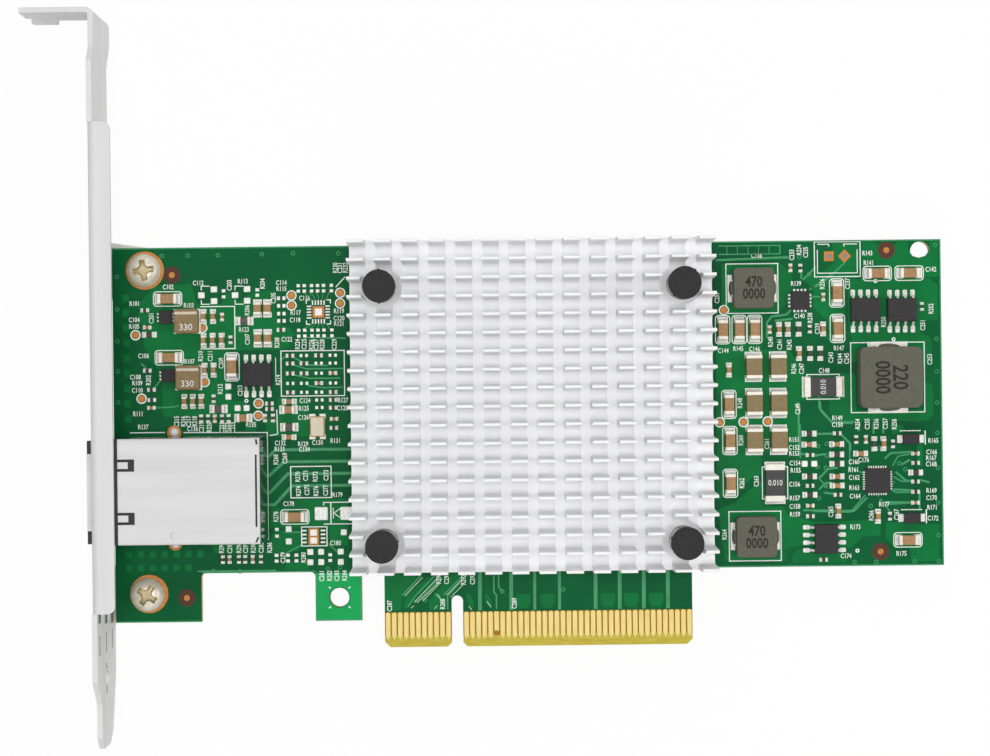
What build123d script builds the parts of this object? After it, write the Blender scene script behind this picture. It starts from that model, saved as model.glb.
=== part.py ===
from build123d import *
import math
import os

# Network interface card, lying with its component side up.
# X = 0 is the middle of the key notch, Y = 0 the contact edge, Z = 0 the component face. Millimetres.

# Circuit board
board_thickness = 1.57
board_left = -56.65
board_right = 80.85
board_top = 66.75
board_lower_edge = 12.65
ear_width = 14.25
ear_bottom = 4.58
tab_left = -23.5
tab_width = 7.7
tab_bottom = 4.55
contact_block_left = -12.05
contact_block_width = 51.05
contact_block_corner = 0.9
key_corner = 0.7
board_inner_corner = 0.75
key_width = 1.9
key_height = 8.5
bevel_height = 1.2
bevel_depth = 0.35
overcut = 1.0

# Holes for fastening the board itself
fixing_hole_radius = 1.6
fixing_holes = [(-19.5, 8.4), (77.4, 64.8)]

# Edge contacts
contact_pitch = 1.0
contacts_before_key = 11
contacts_after_key = 38
first_contact_from_key = 1.5
contact_width = 0.7
contact_start = 1.4
contact_end = 5.8
contact_thickness = 0.05
short_contact = 16
short_contact_start = 2.6

# Bracket, folded from one sheet; heights are measured from the component face
sheet = 0.86
bend_radius = 0.35
bracket_board_gap = 0.74
bracket_width = 18.42
bracket_near_edge = 14.3
bracket_top = 105.0
bracket_length = 120.02
flange_width = 3.67
flange_start = 7.4
flange_end = 86.3
flange_corner = 1.2
neck_start = 83.0
neck_end = 96.8
neck_ramp = 3.9
neck_far_edge = -0.9
shoulder_far_edge = -4.1
shoulder_near_edge = 12.2
shoulder_start = 98.5
shoulder_step = 2.4
slot_tab_length = 11.1
slot_tab_relief = 6.6
slot_tab_relief_edge = 3.2
slot_tab_far_edge = -1.3
screw_slot_width = 4.42
screw_slot_depth = 3.6
screw_slot_height = 3.4
tongue_start = -3.6
tongue_neck = -7.6
tongue_width = 10.19
tongue_corner = 2.0
fold_run = 2.2
board_ear_width = 9.5
board_ear_reach = 4.6
board_ear_corner = 1.5

# Bracket screws, driven from the component face into the ears
screw_inset = 5.3
screw_places = [(board_left + screw_inset, 63.0), (board_left + screw_inset, 9.2)]
screw_radius = 1.45
screw_head_radius = 2.8
screw_head_top_radius = 2.0
screw_head_height = 1.7
screw_length = 3.9
screw_board_clearance = 0.15
screw_thread_clearance = 0.04

# Network jack
jack_centre = 26.85
jack_width = 17.2
jack_height = 13.1
jack_rear = -31.2
jack_nose = 0.75
nose_relief_width = 2.4
nose_relief_depth = 0.7
jack_sheet = 0.25
jack_corner = 0.5
jack_port_clearance = 0.2
shield_slack = 0.05
plug_width = 11.8
plug_height = 6.9
plug_floor = 3.6
plug_depth = 14.0
latch_width = 6.2
latch_drop = 1.5
spring_window_length = 7.6
spring_window_width = 1.95
spring_window_spacing = 8.55
spring_finger_root = 0.75
spring_finger_width = 1.1
spring_finger_gap = 1.0
rear_slit_width = 11.6
rear_slit = 0.3
peg_place = -46.65
peg_width = 1.1
peg_length = 3.2
peg_slot_clearance = 0.2
lens_width = 3.2
lens_height = 1.9
lens_depth = 3.0
lens_top_wall = 0.9
lens_side_wall = 0.9
jack_contact_count = 8
jack_contact_pitch = 1.02
jack_contact_width = 0.4
jack_contact_root = 0.8
jack_contact_drop = 3.0
jack_contact_run = 8.0
jack_pin_count = 4
jack_pin_rows = (-41.0, -36.0)
jack_pin_pitch = 2.03
jack_pin_width = 0.5
jack_pin_length = 3.1
jack_pin_clearance = 0.12

# Controller under the heat sink, placed from the middle of the sink
controller_offset_x = 0.04
controller_offset_y = -1.45
substrate_size = 25.0
substrate_height = 1.0
lid_size = 21.0
lid_height = 1.4
pad_size = 20.0
pad_height = 0.2

# Heat sink, extruded along X and cross-cut along Y, with its right side a set gap from the inductors
sink_inductor_gap = 3.2
sink_lower_edge = 12.75
sink_width = 59.5
sink_depth = 54.5
sink_base = 2.0
fin_height = 8.3
fin_root = 0.9
fin_tip = 0.62
fin_rows = 19
fin_columns = 14
channel_width = 1.66
channel_extra_depth = 0.35

# Push-pins that hold the heat sink, placed from its sides
pin_inset_left = 5.24
pin_inset_right = 5.16
pin_inset_lower = 4.875
pin_inset_upper = 7.775
pin_head_radius = 2.65
pin_head_height = 1.2
pin_head_stand = 1.0
pin_shaft_radius = 1.5
pin_hole_clearance = 0.15
pin_pocket_radius = 3.3
pin_barb_radius = 2.0
pin_barb_gap = 0.1
pin_barb_length = 2.4
pin_tip_radius = 0.7
pin_prong_width = 1.4
pin_slit = 0.6
spring_wire = 0.5
spring_radius = 2.1
spring_turns = 3
spring_steps = 6
spring_seat_gap = 0.12

# Power inductors
large_inductor_place = (71.85, 43.9)
large_inductor_size = (10.3, 10.1, 4.0)
large_inductor_corner = 0.9
large_terminal_width = 6.2
large_terminal_reach = 0.65
medium_inductor_places = [(49.5, 58.9), (49.55, 17.8)]
medium_inductor_size = (6.7, 6.7, 3.0)
medium_inductor_corner = 0.6
medium_terminal_width = 4.1
medium_terminal_reach = 0.5
inductor_top_edge = 0.2
terminal_sheet = 0.25
terminal_rise = 1.5
terminal_riser_inset = 0.7
small_inductor_places = [(-44.3, 54.5), (-44.15, 45.15)]
small_inductor_size = (4.0, 4.1, 2.0)
small_inductor_corner = 0.3
small_terminal_width = 1.0
small_terminal_length = 3.7

# Chips with gull-wing leads
lead_chip_places = [(-32.7, 45.5, 0), (68.1, 55.15, 0), (74.2, 55.05, 0), (61.25, 17.25, 90)]
lead_chip_size = (4.9, 3.9, 1.4)
lead_chip_stand = 0.1
lead_chip_draft = 7
lead_count = 4
lead_pitch = 1.27
lead_width = 0.42
lead_thickness = 0.2
lead_reach = 1.05
lead_foot = 0.5

# Leadless chips: place and side length
leadless_places = [(-47.8, 55.2, 2.2), (-47.5, 45.5, 2.2), (57.4, 56.8, 3.1), (69.95, 26.8, 4.1)]
leadless_height = 0.85

# Diodes
diode_places = [(75.5, 33.65, 0), (75.55, 20.55, 0)]
diode_size = (2.7, 1.7, 1.0)
diode_stand = 0.1
diode_lead_width = 0.9
diode_lead_thickness = 0.15
diode_lead_reach = 0.65
diode_lead_rise = 0.45

# Crystal
crystal_place = (-22.85, 36.8)
crystal_size = (2.5, 3.4)
crystal_base_height = 0.5
crystal_lid_height = 0.3
crystal_lid_margin = 0.15

# Larger chips: length, width, height, length of each metal end
sense_chip = (6.3, 3.2, 0.6, 0.95)
bulk_chip = (3.9, 2.6, 2.0, 0.55)
end_wrap = 0.03

# Smaller chips, each one block: length, width, height
large_chip = (3.2, 1.6, 1.2)
medium_chip = (2.0, 1.25, 0.9)
small_chip = (1.6, 0.8, 0.75)
resistor_chip = (1.6, 0.8, 0.45)


def across(y, *xs):
    """Chips in a row at one Y, each lying along X."""
    return [(x, y, 0) for x in xs]


def upright(y, *xs):
    """Chips in a row at one Y, each lying along Y."""
    return [(x, y, 90) for x in xs]


sense_places = across(42.45, 61.1) + upright(26.6, 52.95)
bulk_places = [spot for y in (45.9, 39.85, 33.75) for spot in upright(y, 49.55, 53.6)]
large_places = (
    across(58.25, -47.5) + across(48.5, -47.35) + across(21.85, -26.8)
    + across(61.15, 70.3, 75.6) + across(16.9, 74.9)
    + upright(46.85, -36.95) + upright(58.0, 63.55) + upright(52.1, 44.55, 47.3, 49.85, 63.6)
    + upright(39.7, 45.45) + upright(33.7, 45.55) + upright(26.6, 45.55)
)
medium_places = (
    upright(56.5, -32.6, -30.95) + upright(51.55, -32.6, -30.95)
    + across(38.35, -35.15) + across(39.65, -27.65)
)
ferrite_places = across(54.45, -34.8) + across(39.9, -39.25) + across(36.75, -27.55)
small_places = (
    upright(55.25, -41.55, -40.0) + upright(51.3, -41.6, -40.1, -38.6)
    + upright(46.35, -41.5, -40.0) + upright(41.2, -44.9, -43.5, -42.1)
    + upright(52.05, 53.9, 55.35, 61.2) + upright(48.0, 57.15) + upright(45.4, 45.5)
    + upright(32.9, 71.0) + upright(21.8, 63.4) + upright(20.85, 69.95)
    + across(41.0, -27.5) + across(35.1, -27.6) + across(32.9, 58.65, 63.25)
    + across(31.3, 67.2) + across(27.55, 63.25) + across(26.05, 63.25)
)
resistor_places = (
    upright(52.05, 57.15) + upright(48.0, 59.0, 60.7) + upright(32.9, 69.5)
    + across(52.35, -50.6) + across(34.7, 58.7) + across(31.2, 63.25) + across(29.65, 63.25)
    + across(28.05, 76.3) + across(27.6, 58.7) + across(24.55, 58.7)
)

# Levels and faces that several pieces share
solder_face = -board_thickness
bracket_inner = board_left - bracket_board_gap
bracket_outer = bracket_inner - sheet
bracket_far_edge = bracket_near_edge - bracket_width
bracket_bottom = bracket_top - bracket_length
ear_right = board_left + ear_width
contact_block_right = contact_block_left + contact_block_width
tab_right = tab_left + tab_width
jack_front = bracket_outer - jack_nose
jack_side = jack_width / 2
jack_inner_side = jack_side - jack_sheet - shield_slack
jack_inner_top = jack_height - jack_sheet - shield_slack
jack_inner_rear = jack_rear - jack_sheet - shield_slack
medium_inductor_left = medium_inductor_places[0][0] - medium_inductor_size[0] / 2 - medium_terminal_reach
sink_right = medium_inductor_left - sink_inductor_gap
sink_left = sink_right - sink_width
sink_upper_edge = sink_lower_edge + sink_depth
sink_centre = ((sink_left + sink_right) / 2, (sink_lower_edge + sink_upper_edge) / 2)
controller_centre = (sink_centre[0] + controller_offset_x, sink_centre[1] + controller_offset_y)
sink_bottom = substrate_height + lid_height + pad_height
sink_floor = sink_bottom + sink_base
sink_top = sink_floor + fin_height
pin_head_top = sink_top + pin_head_stand
pin_head_bottom = pin_head_top - pin_head_height
pin_hole_radius = pin_shaft_radius + pin_hole_clearance
pin_places = [
    (x, y)
    for x in (sink_left + pin_inset_left, sink_right - pin_inset_right)
    for y in (sink_lower_edge + pin_inset_lower, sink_upper_edge - pin_inset_upper)
]


def span(x0, x1, y0, y1):
    """Rectangle between two X and two Y values."""
    return Pos((x0 + x1) / 2, (y0 + y1) / 2) * Rectangle(abs(x1 - x0), abs(y1 - y0))


def block(x0, x1, y0, y1, z0, z1):
    """Box between two values on each axis."""
    return Pos((x0 + x1) / 2, (y0 + y1) / 2, (z0 + z1) / 2) * Box(abs(x1 - x0), abs(y1 - y0), abs(z1 - z0))


def standing_block(length, width, height, bottom=0.0):
    """Box centred on Z, standing at a given level."""
    return Pos(0, 0, bottom + height / 2) * Box(length, width, height)


def peg(x, y, radius, z0, z1):
    """Round bar along Z."""
    return Pos(x, y, (z0 + z1) / 2) * Cylinder(radius, abs(z1 - z0))


def corners(face, *points):
    """The face's corners nearest to the given points."""
    return [face.vertices().sort_by_distance(Vector(x, y, 0))[0] for x, y in points]


def group(solids):
    """Separate solids that share one node."""
    return Compound(children=list(solids))


def set_at(places, piece):
    """Copies of a piece at (x, y, turn) places."""
    return [Pos(x, y, 0) * Rot(0, 0, turn) * piece for x, y, turn in places]


def fold(x_plate, x_flap, z_plate, z_flap):
    """L section of a folded sheet in a plane, with its plate along +v and its flap along u."""
    side = 1 if x_flap > x_plate else -1
    rise = 1 if z_plate > z_flap else -1
    section = Polygon(
        (x_plate, z_flap),
        (x_flap, z_flap),
        (x_flap, z_flap + rise * sheet),
        (x_plate + side * sheet, z_flap + rise * sheet),
        (x_plate + side * sheet, z_plate),
        (x_plate, z_plate),
        align=None,
    )
    section = fillet(corners(section, (x_plate, z_flap)), bend_radius + sheet)
    return fillet(corners(section, (x_plate + side * sheet, z_flap + rise * sheet)), bend_radius)


def along_x(section, x0, x1):
    """Section drawn with Y along u and Z along v, pushed from one X to another."""
    return extrude(Plane.YZ.offset(x0) * section, x1 - x0, dir=(1, 0, 0))


def along_y(section, y0, y1):
    """Section drawn with X along u and Z along v, pushed from one Y to another."""
    return extrude(Plane.XZ.offset(-y0) * section, y1 - y0, dir=(0, 1, 0))


def circuit_board():
    outline = (
        span(board_left, board_right, board_lower_edge, board_top)
        + span(board_left, ear_right, ear_bottom, board_lower_edge)
        + span(tab_left, tab_right, tab_bottom, board_lower_edge)
        + span(contact_block_left, contact_block_right, 0, board_lower_edge)
    )
    outline = fillet(
        corners(
            outline,
            (ear_right, board_lower_edge),
            (tab_left, board_lower_edge),
            (contact_block_right, board_lower_edge),
        ),
        board_inner_corner,
    )
    outline -= span(-key_width / 2, key_width / 2, -overcut, key_height - key_width / 2)
    outline -= Pos(0, key_height - key_width / 2) * Circle(key_width / 2)
    outline = chamfer(corners(outline, (contact_block_left, 0), (contact_block_right, 0)), contact_block_corner)
    outline = chamfer(corners(outline, (-key_width / 2, 0), (key_width / 2, 0)), key_corner)
    for x, y in fixing_holes:
        outline -= Pos(x, y) * Circle(fixing_hole_radius)
    for x, y in screw_places:
        outline -= Pos(x, y) * Circle(screw_radius + screw_board_clearance)
    for x, y in pin_places:
        outline -= Pos(x, y) * Circle(pin_hole_radius)
    for side in (-1, 1):
        wall = jack_centre + side * (jack_side - jack_sheet / 2)
        slot = Rectangle(peg_width + 2 * peg_slot_clearance, jack_sheet + 2 * peg_slot_clearance)
        outline -= Pos(peg_place, wall) * slot
    for x, y in jack_pin_spots():
        hole_side = jack_pin_width + 2 * jack_pin_clearance
        outline -= Pos(x, y) * Rectangle(hole_side, hole_side)
    board = extrude(outline, board_thickness, dir=(0, 0, -1))
    for face_level, inward in ((0, -1), (solder_face, 1)):
        wedge = Polygon(
            (0, face_level), (bevel_height, face_level), (0, face_level + inward * bevel_depth), align=None
        )
        board -= along_x(wedge, contact_block_left, contact_block_right)
    return board


def contact_row():
    """X of each contact from the low end, with the key notch skipped."""
    before = [-first_contact_from_key - i * contact_pitch for i in range(contacts_before_key)]
    after = [first_contact_from_key + i * contact_pitch for i in range(contacts_after_key)]
    return before[::-1] + after


def edge_contacts(level, outward):
    pads = []
    for i, x in enumerate(contact_row()):
        start = short_contact_start if i == short_contact else contact_start
        half = contact_width / 2
        pads.append(block(x - half, x + half, start, contact_end, level, level + outward * contact_thickness))
    return group(pads)


def bracket_face_outline():
    """Flat face of the bracket, drawn with Y along u and Z along v."""
    shoulder_end = bracket_top - fold_run
    tongue_near = bracket_near_edge - (bracket_width - tongue_width) / 2
    tongue_far = tongue_near - tongue_width
    face = Polygon(
        (shoulder_end, shoulder_near_edge),
        (shoulder_start, shoulder_near_edge),
        (shoulder_start - shoulder_step, bracket_near_edge),
        (tongue_start, bracket_near_edge),
        (tongue_neck, tongue_near),
        (bracket_bottom, tongue_near),
        (bracket_bottom, tongue_far),
        (tongue_start, bracket_far_edge),
        (neck_start, bracket_far_edge),
        (neck_start + shoulder_step, neck_far_edge),
        (neck_end, neck_far_edge),
        (neck_end + neck_ramp, shoulder_far_edge),
        (shoulder_end, shoulder_far_edge),
        align=None,
    )
    tip_corners = corners(face, (bracket_bottom, tongue_near), (bracket_bottom, tongue_far))
    return chamfer(tip_corners, tongue_corner)


def bracket():
    plate = along_x(bracket_face_outline(), bracket_outer, bracket_inner)
    fold_top = bracket_near_edge - fold_run
    ear_level = solder_face - sheet
    front = bracket_outer - overcut
    behind = bracket_inner + overcut
    plate -= block(front, behind, flange_start, flange_end, fold_top, bracket_near_edge + overcut)
    flange = fold(bracket_outer, bracket_outer + flange_width, fold_top, bracket_near_edge)
    flange = along_y(flange, flange_start, flange_end)
    tips = flange.edges().filter_by(Axis.Z).sort_by(Axis.X)[-2:]
    plate += fillet(tips, flange_corner)
    slot_tab = fold(bracket_outer + sheet, bracket_outer - slot_tab_length, bracket_top - fold_run, bracket_top)
    tab_span = shoulder_near_edge - shoulder_far_edge
    plate += extrude(Pos(0, 0, shoulder_far_edge) * slot_tab, tab_span, dir=(0, 0, 1))
    plate = cut_slot_tab(plate)
    for x, y in screw_places:
        half = board_ear_width / 2
        plate -= block(front, behind, y - half, y + half, bracket_far_edge - overcut, fold_run)
        ear = fold(bracket_outer, x + board_ear_reach, fold_run, ear_level)
        ear = along_y(ear, y - half, y + half)
        ear_tips = ear.edges().filter_by(Axis.Z).sort_by(Axis.X)[-2:]
        plate += chamfer(ear_tips, board_ear_corner)
        plate -= peg(x, y, screw_radius + screw_thread_clearance, ear_level - overcut, solder_face + overcut)
    port_half = jack_side + jack_port_clearance
    port = block(
        front,
        behind,
        jack_centre - port_half,
        jack_centre + port_half,
        -jack_port_clearance,
        jack_height + jack_port_clearance,
    )
    return plate - port


def cut_slot_tab(plate):
    """Far-side relief at the fold, and the open screw slot in the end of the tab."""
    end = bracket_outer - slot_tab_length
    relief_start = bracket_outer - bend_radius
    top = bracket_top + overcut
    low = bracket_top - 2 * sheet
    far = shoulder_far_edge - overcut
    plate -= block(relief_start - slot_tab_relief, relief_start, low, top, far, slot_tab_relief_edge)
    plate -= block(end - overcut, relief_start, low, top, far, slot_tab_far_edge)
    slot_root = end + screw_slot_depth
    half = screw_slot_width / 2
    slot = span(end - overcut, slot_root - half, screw_slot_height - half, screw_slot_height + half)
    slot += Pos(slot_root - half, screw_slot_height) * Circle(half)
    return plate - along_y(slot, low, top)


def bracket_screw(x, y):
    head = Cone(screw_head_radius, screw_head_top_radius, screw_head_height)
    head = Pos(0, 0, screw_head_height / 2) * head
    return Pos(x, y, 0) * (head + peg(0, 0, screw_radius, -screw_length, 0))


def jack_pin_spots():
    middle = (jack_pin_count - 1) / 2
    return [
        (x, jack_centre + (i - middle) * jack_pin_pitch) for x in jack_pin_rows for i in range(jack_pin_count)
    ]


def jack_shield():
    outer = block(jack_front, jack_rear, jack_centre - jack_side, jack_centre + jack_side, 0, jack_height)
    bends = outer.edges().filter_by(Axis.X).sort_by(Axis.Z)[-2:]
    bends += outer.edges().filter_by(Axis.Y).sort_by(Axis.Z)[-2:].sort_by(Axis.X)[-1:]
    outer = fillet(bends, jack_corner)
    inner_side = jack_side - jack_sheet
    inner = block(
        jack_front - overcut,
        jack_rear - jack_sheet,
        jack_centre - inner_side,
        jack_centre + inner_side,
        -overcut,
        jack_height - jack_sheet,
    )
    shield = outer - inner
    low = jack_height - jack_corner - jack_sheet
    for side in (-1, 1):
        y = jack_centre + side * spring_window_spacing / 2
        shield -= spring_window(y, low)
        shield += shield_peg(side)
        shield -= nose_relief(side)
    slit_x = jack_rear - jack_corner
    return shield - block(
        slit_x - rear_slit,
        slit_x,
        jack_centre - rear_slit_width / 2,
        jack_centre + rear_slit_width / 2,
        low,
        jack_height + overcut,
    )


def spring_window(y, low):
    """Slot around a spring finger that stays joined to the shield at the front."""
    end = jack_front + spring_window_length
    half = spring_window_width / 2
    finger = spring_finger_width / 2
    top = jack_height + overcut
    window = block(jack_front + spring_finger_root, end, y - half, y + half, low, top)
    return window - block(jack_front, end - spring_finger_gap, y - finger, y + finger, low, top)


def nose_relief(side):
    """Corner of the shield's nose that is cut back to the housing."""
    out = jack_centre + side * (jack_side + overcut)
    inward = jack_centre + side * (jack_side - nose_relief_width)
    end = jack_front + nose_relief_depth
    return block(jack_front - overcut, end, inward, out, -overcut, jack_height + overcut)


def shield_peg(side):
    """Solder peg that runs down from a side wall through the board."""
    wall_out = jack_centre + side * jack_side
    wall_in = wall_out - side * jack_sheet
    half = peg_width / 2
    return block(peg_place - half, peg_place + half, wall_in, wall_out, -peg_length, jack_sheet)


def jack_housing():
    low_side = jack_centre - jack_inner_side
    high_side = jack_centre + jack_inner_side
    body = block(jack_front, jack_inner_rear, low_side, high_side, 0, jack_inner_top)
    mouth = jack_front - overcut
    back = jack_front + plug_depth
    plug_half = plug_width / 2
    latch_half = latch_width / 2
    body -= block(
        mouth, back, jack_centre - plug_half, jack_centre + plug_half, plug_floor, plug_floor + plug_height
    )
    body -= block(
        mouth, back, jack_centre - latch_half, jack_centre + latch_half, plug_floor - latch_drop, plug_floor
    )
    for lens in lens_blocks():
        body -= lens
    return body


def lens_blocks():
    """The two indicator lenses in the top corners of the jack's face."""
    top = jack_inner_top - lens_top_wall
    out = jack_inner_side - lens_side_wall
    return [
        block(
            jack_front,
            jack_front + lens_depth,
            jack_centre + side * out,
            jack_centre + side * (out - lens_width),
            top - lens_height,
            top,
        )
        for side in (-1, 1)
    ]


def jack_contacts():
    """Spring wires that slope down from the roof of the plug cavity."""
    roof = plug_floor + plug_height
    back = jack_front + plug_depth
    start = back - jack_contact_run
    wire = Polygon(
        (start, roof),
        (start + jack_contact_root, roof),
        (back, roof - jack_contact_drop),
        (back - jack_contact_root, roof - jack_contact_drop),
        align=None,
    )
    middle = (jack_contact_count - 1) / 2
    wires = []
    for i in range(jack_contact_count):
        y = jack_centre + (i - middle) * jack_contact_pitch
        wires.append(along_y(wire, y - jack_contact_width / 2, y + jack_contact_width / 2))
    return group(wires)


def jack_pins():
    return group(
        Pos(x, y, -jack_pin_length / 2) * Box(jack_pin_width, jack_pin_width, jack_pin_length)
        for x, y in jack_pin_spots()
    )


def heat_sink():
    section = span(-sink_depth / 2, sink_depth / 2, sink_bottom, sink_floor)
    pitch = (sink_depth - fin_root) / (fin_rows - 1)
    for row in range(fin_rows):
        y = row * pitch - (sink_depth - fin_root) / 2
        section += Polygon(
            (y - fin_root / 2, sink_floor),
            (y + fin_root / 2, sink_floor),
            (y + fin_tip / 2, sink_top),
            (y - fin_tip / 2, sink_top),
            align=None,
        )
    sink = along_x(section, -sink_width / 2, sink_width / 2)
    step = (sink_width + channel_width) / fin_columns
    channel_floor = sink_floor - channel_extra_depth
    channels = []
    for column in range(1, fin_columns):
        x = column * step - (sink_width + channel_width) / 2
        channels.append(
            block(
                x - channel_width / 2,
                x + channel_width / 2,
                -sink_depth,
                sink_depth,
                channel_floor,
                sink_top + overcut,
            )
        )
    sink = sink.cut(*channels)
    pockets = []
    for x, y in pin_places:
        here = (x - sink_centre[0], y - sink_centre[1])
        pockets.append(peg(*here, pin_pocket_radius, channel_floor, sink_top + overcut))
        pockets.append(peg(*here, pin_hole_radius, sink_bottom - overcut, sink_top))
    return Pos(*sink_centre, 0) * sink.cut(*pockets)


def push_pin():
    """Headed pin whose shaft is split into two hooked prongs."""
    barb_top = solder_face - pin_barb_gap
    tip = barb_top - pin_barb_length
    prong_reach = math.sqrt(pin_shaft_radius**2 - (pin_prong_width / 2) ** 2)
    head = peg(0, 0, pin_head_radius, pin_head_bottom, pin_head_top)
    prong = Polygon(
        (pin_slit / 2, pin_head_bottom),
        (prong_reach, pin_head_bottom),
        (prong_reach, barb_top),
        (pin_barb_radius, barb_top),
        (pin_tip_radius, tip),
        (pin_slit / 2, tip),
        align=None,
    )
    prong = along_y(prong, -pin_prong_width / 2, pin_prong_width / 2)
    return head + prong + Rot(0, 0, 180) * prong


def push_pin_spring():
    """Coil between the pin's head and the pocket floor, as a many-sided wire path."""
    bottom = sink_floor - channel_extra_depth + spring_wire / 2 + spring_seat_gap
    top = pin_head_bottom - spring_wire / 2 - spring_seat_gap
    count = spring_turns * spring_steps
    path = Polyline(
        *(
            (
                spring_radius * math.cos(2 * math.pi * i / spring_steps),
                spring_radius * math.sin(2 * math.pi * i / spring_steps),
                bottom + (top - bottom) * i / count,
            )
            for i in range(count + 1)
        )
    )
    section = Plane(origin=path @ 0, z_dir=path % 0) * Rectangle(spring_wire, spring_wire)
    return sweep(section, path=path, transition=Transition.RIGHT)


def moulded_body(size, corner, stand):
    """Pressed block with cut upright edges and a softened top."""
    length, width, height = size
    body = standing_block(length, width, height - stand, stand)
    body = chamfer(body.edges().filter_by(Axis.Z), corner)
    return chamfer(body.faces().sort_by(Axis.Z)[-1].edges(), inductor_top_edge)


def strap_terminals(size, width, reach):
    """Two straps at the +X and -X ends: a foot beside the body and a riser on its side."""
    straps = []
    for side in (-1, 1):
        end = side * size[0] / 2
        foot = block(end - side * reach, end + side * reach, -width / 2, width / 2, 0, terminal_sheet)
        half = width / 2 - terminal_riser_inset
        top = terminal_sheet + terminal_rise
        straps.append(foot + block(end, end + side * terminal_sheet, -half, half, terminal_sheet, top))
    return straps


def lead_chip_body():
    length, width, height = lead_chip_size
    half = height / 2
    outline = Rectangle(length, width)
    upper = extrude(outline, half, taper=lead_chip_draft)
    lower = extrude(outline, half, dir=(0, 0, -1), taper=lead_chip_draft)
    return Pos(0, 0, lead_chip_stand + half) * (upper + lower)


def lead_chip_leads():
    """Gull-wing leads along both long sides."""
    length, width, height = lead_chip_size
    start = width / 2
    middle = lead_chip_stand + height / 2
    end = start + lead_reach
    low_bend = end - lead_foot
    profile = Polygon(
        (start, middle + lead_thickness / 2),
        (low_bend + lead_thickness / 2, lead_thickness),
        (end, lead_thickness),
        (end, 0),
        (low_bend - lead_thickness / 2, 0),
        (start, middle - lead_thickness / 2),
        align=None,
    )
    lead = along_x(profile, -lead_width / 2, lead_width / 2)
    row = [Pos((i - (lead_count - 1) / 2) * lead_pitch, 0, 0) * lead for i in range(lead_count)]
    return row + [Rot(0, 0, 180) * piece for piece in row]


def diode_leads():
    """One bent lead at each end of the diode's body."""
    half = diode_lead_width / 2
    leads = []
    for side in (-1, 1):
        end = side * diode_size[0] / 2
        foot = block(end, end + side * diode_lead_reach, -half, half, 0, diode_lead_thickness)
        riser = block(end, end + side * diode_lead_thickness, -half, half, 0, diode_lead_rise)
        leads.append(foot + riser)
    return leads


def chip_body(chip):
    length, width, height, end = chip
    return standing_block(length - 2 * end, width, height, end_wrap)


def chip_ends(chip):
    length, width, height, end = chip
    return [
        Pos(side * (length - end) / 2, 0, 0) * standing_block(end, width + 2 * end_wrap, height + 2 * end_wrap)
        for side in (-1, 1)
    ]


def ended_chips(places, chip):
    """Bodies and metal ends of one kind of larger chip."""
    bodies = set_at(places, chip_body(chip))
    ends = [piece for end in chip_ends(chip) for piece in set_at(places, end)]
    return group(bodies), group(ends)


def leadless_bodies():
    return group(Pos(x, y, 0) * standing_block(side, side, leadless_height) for x, y, side in leadless_places)


nodes = {}
nodes["circuit_board"] = circuit_board()
nodes["edge_contacts_front"] = edge_contacts(0, 1)
nodes["edge_contacts_back"] = edge_contacts(solder_face, -1)
nodes["bracket"] = bracket()
nodes["bracket_screws"] = group(bracket_screw(x, y) for x, y in screw_places)
nodes["jack_shield"] = jack_shield()
nodes["jack_housing"] = jack_housing()
nodes["jack_lenses"] = group(lens_blocks())
nodes["jack_contacts"] = jack_contacts()
nodes["jack_pins"] = jack_pins()

controller = Pos(*controller_centre, 0)
nodes["controller_substrate"] = controller * standing_block(substrate_size, substrate_size, substrate_height)
nodes["controller_lid"] = controller * standing_block(lid_size, lid_size, lid_height, substrate_height)
nodes["thermal_pad"] = controller * standing_block(pad_size, pad_size, pad_height, sink_bottom - pad_height)
nodes["heat_sink"] = heat_sink()
nodes["push_pins"] = group(Pos(x, y, 0) * push_pin() for x, y in pin_places)
nodes["push_pin_springs"] = group(Pos(x, y, 0) * push_pin_spring() for x, y in pin_places)

large_turned = (large_inductor_size[1], large_inductor_size[0], large_inductor_size[2])
large_spot = [(*large_inductor_place, 90)]
medium_spots = [(x, y, 0) for x, y in medium_inductor_places]
small_spots = [(x, y, 0) for x, y in small_inductor_places]
large_body = moulded_body(large_turned, large_inductor_corner, terminal_sheet)
medium_body = moulded_body(medium_inductor_size, medium_inductor_corner, terminal_sheet)
small_body = moulded_body(small_inductor_size, small_inductor_corner, terminal_sheet)
large_straps = strap_terminals(large_turned, large_terminal_width, large_terminal_reach)
medium_straps = strap_terminals(medium_inductor_size, medium_terminal_width, medium_terminal_reach)
small_lands = [
    Pos(side * (small_inductor_size[0] - small_terminal_width) / 2, 0, 0)
    * standing_block(small_terminal_width, small_terminal_length, terminal_sheet)
    for side in (-1, 1)
]
nodes["large_inductor_body"] = group(set_at(large_spot, large_body))
nodes["large_inductor_terminals"] = group(p for strap in large_straps for p in set_at(large_spot, strap))
nodes["medium_inductor_bodies"] = group(set_at(medium_spots, medium_body))
nodes["medium_inductor_terminals"] = group(p for strap in medium_straps for p in set_at(medium_spots, strap))
nodes["small_inductor_bodies"] = group(set_at(small_spots, small_body))
nodes["small_inductor_terminals"] = group(p for land in small_lands for p in set_at(small_spots, land))

nodes["lead_chip_bodies"] = group(set_at(lead_chip_places, lead_chip_body()))
nodes["lead_chip_leads"] = group(p for lead in lead_chip_leads() for p in set_at(lead_chip_places, lead))
nodes["leadless_chip_bodies"] = leadless_bodies()
nodes["diode_bodies"] = group(set_at(diode_places, standing_block(*diode_size, diode_stand)))
nodes["diode_leads"] = group(p for lead in diode_leads() for p in set_at(diode_places, lead))

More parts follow.
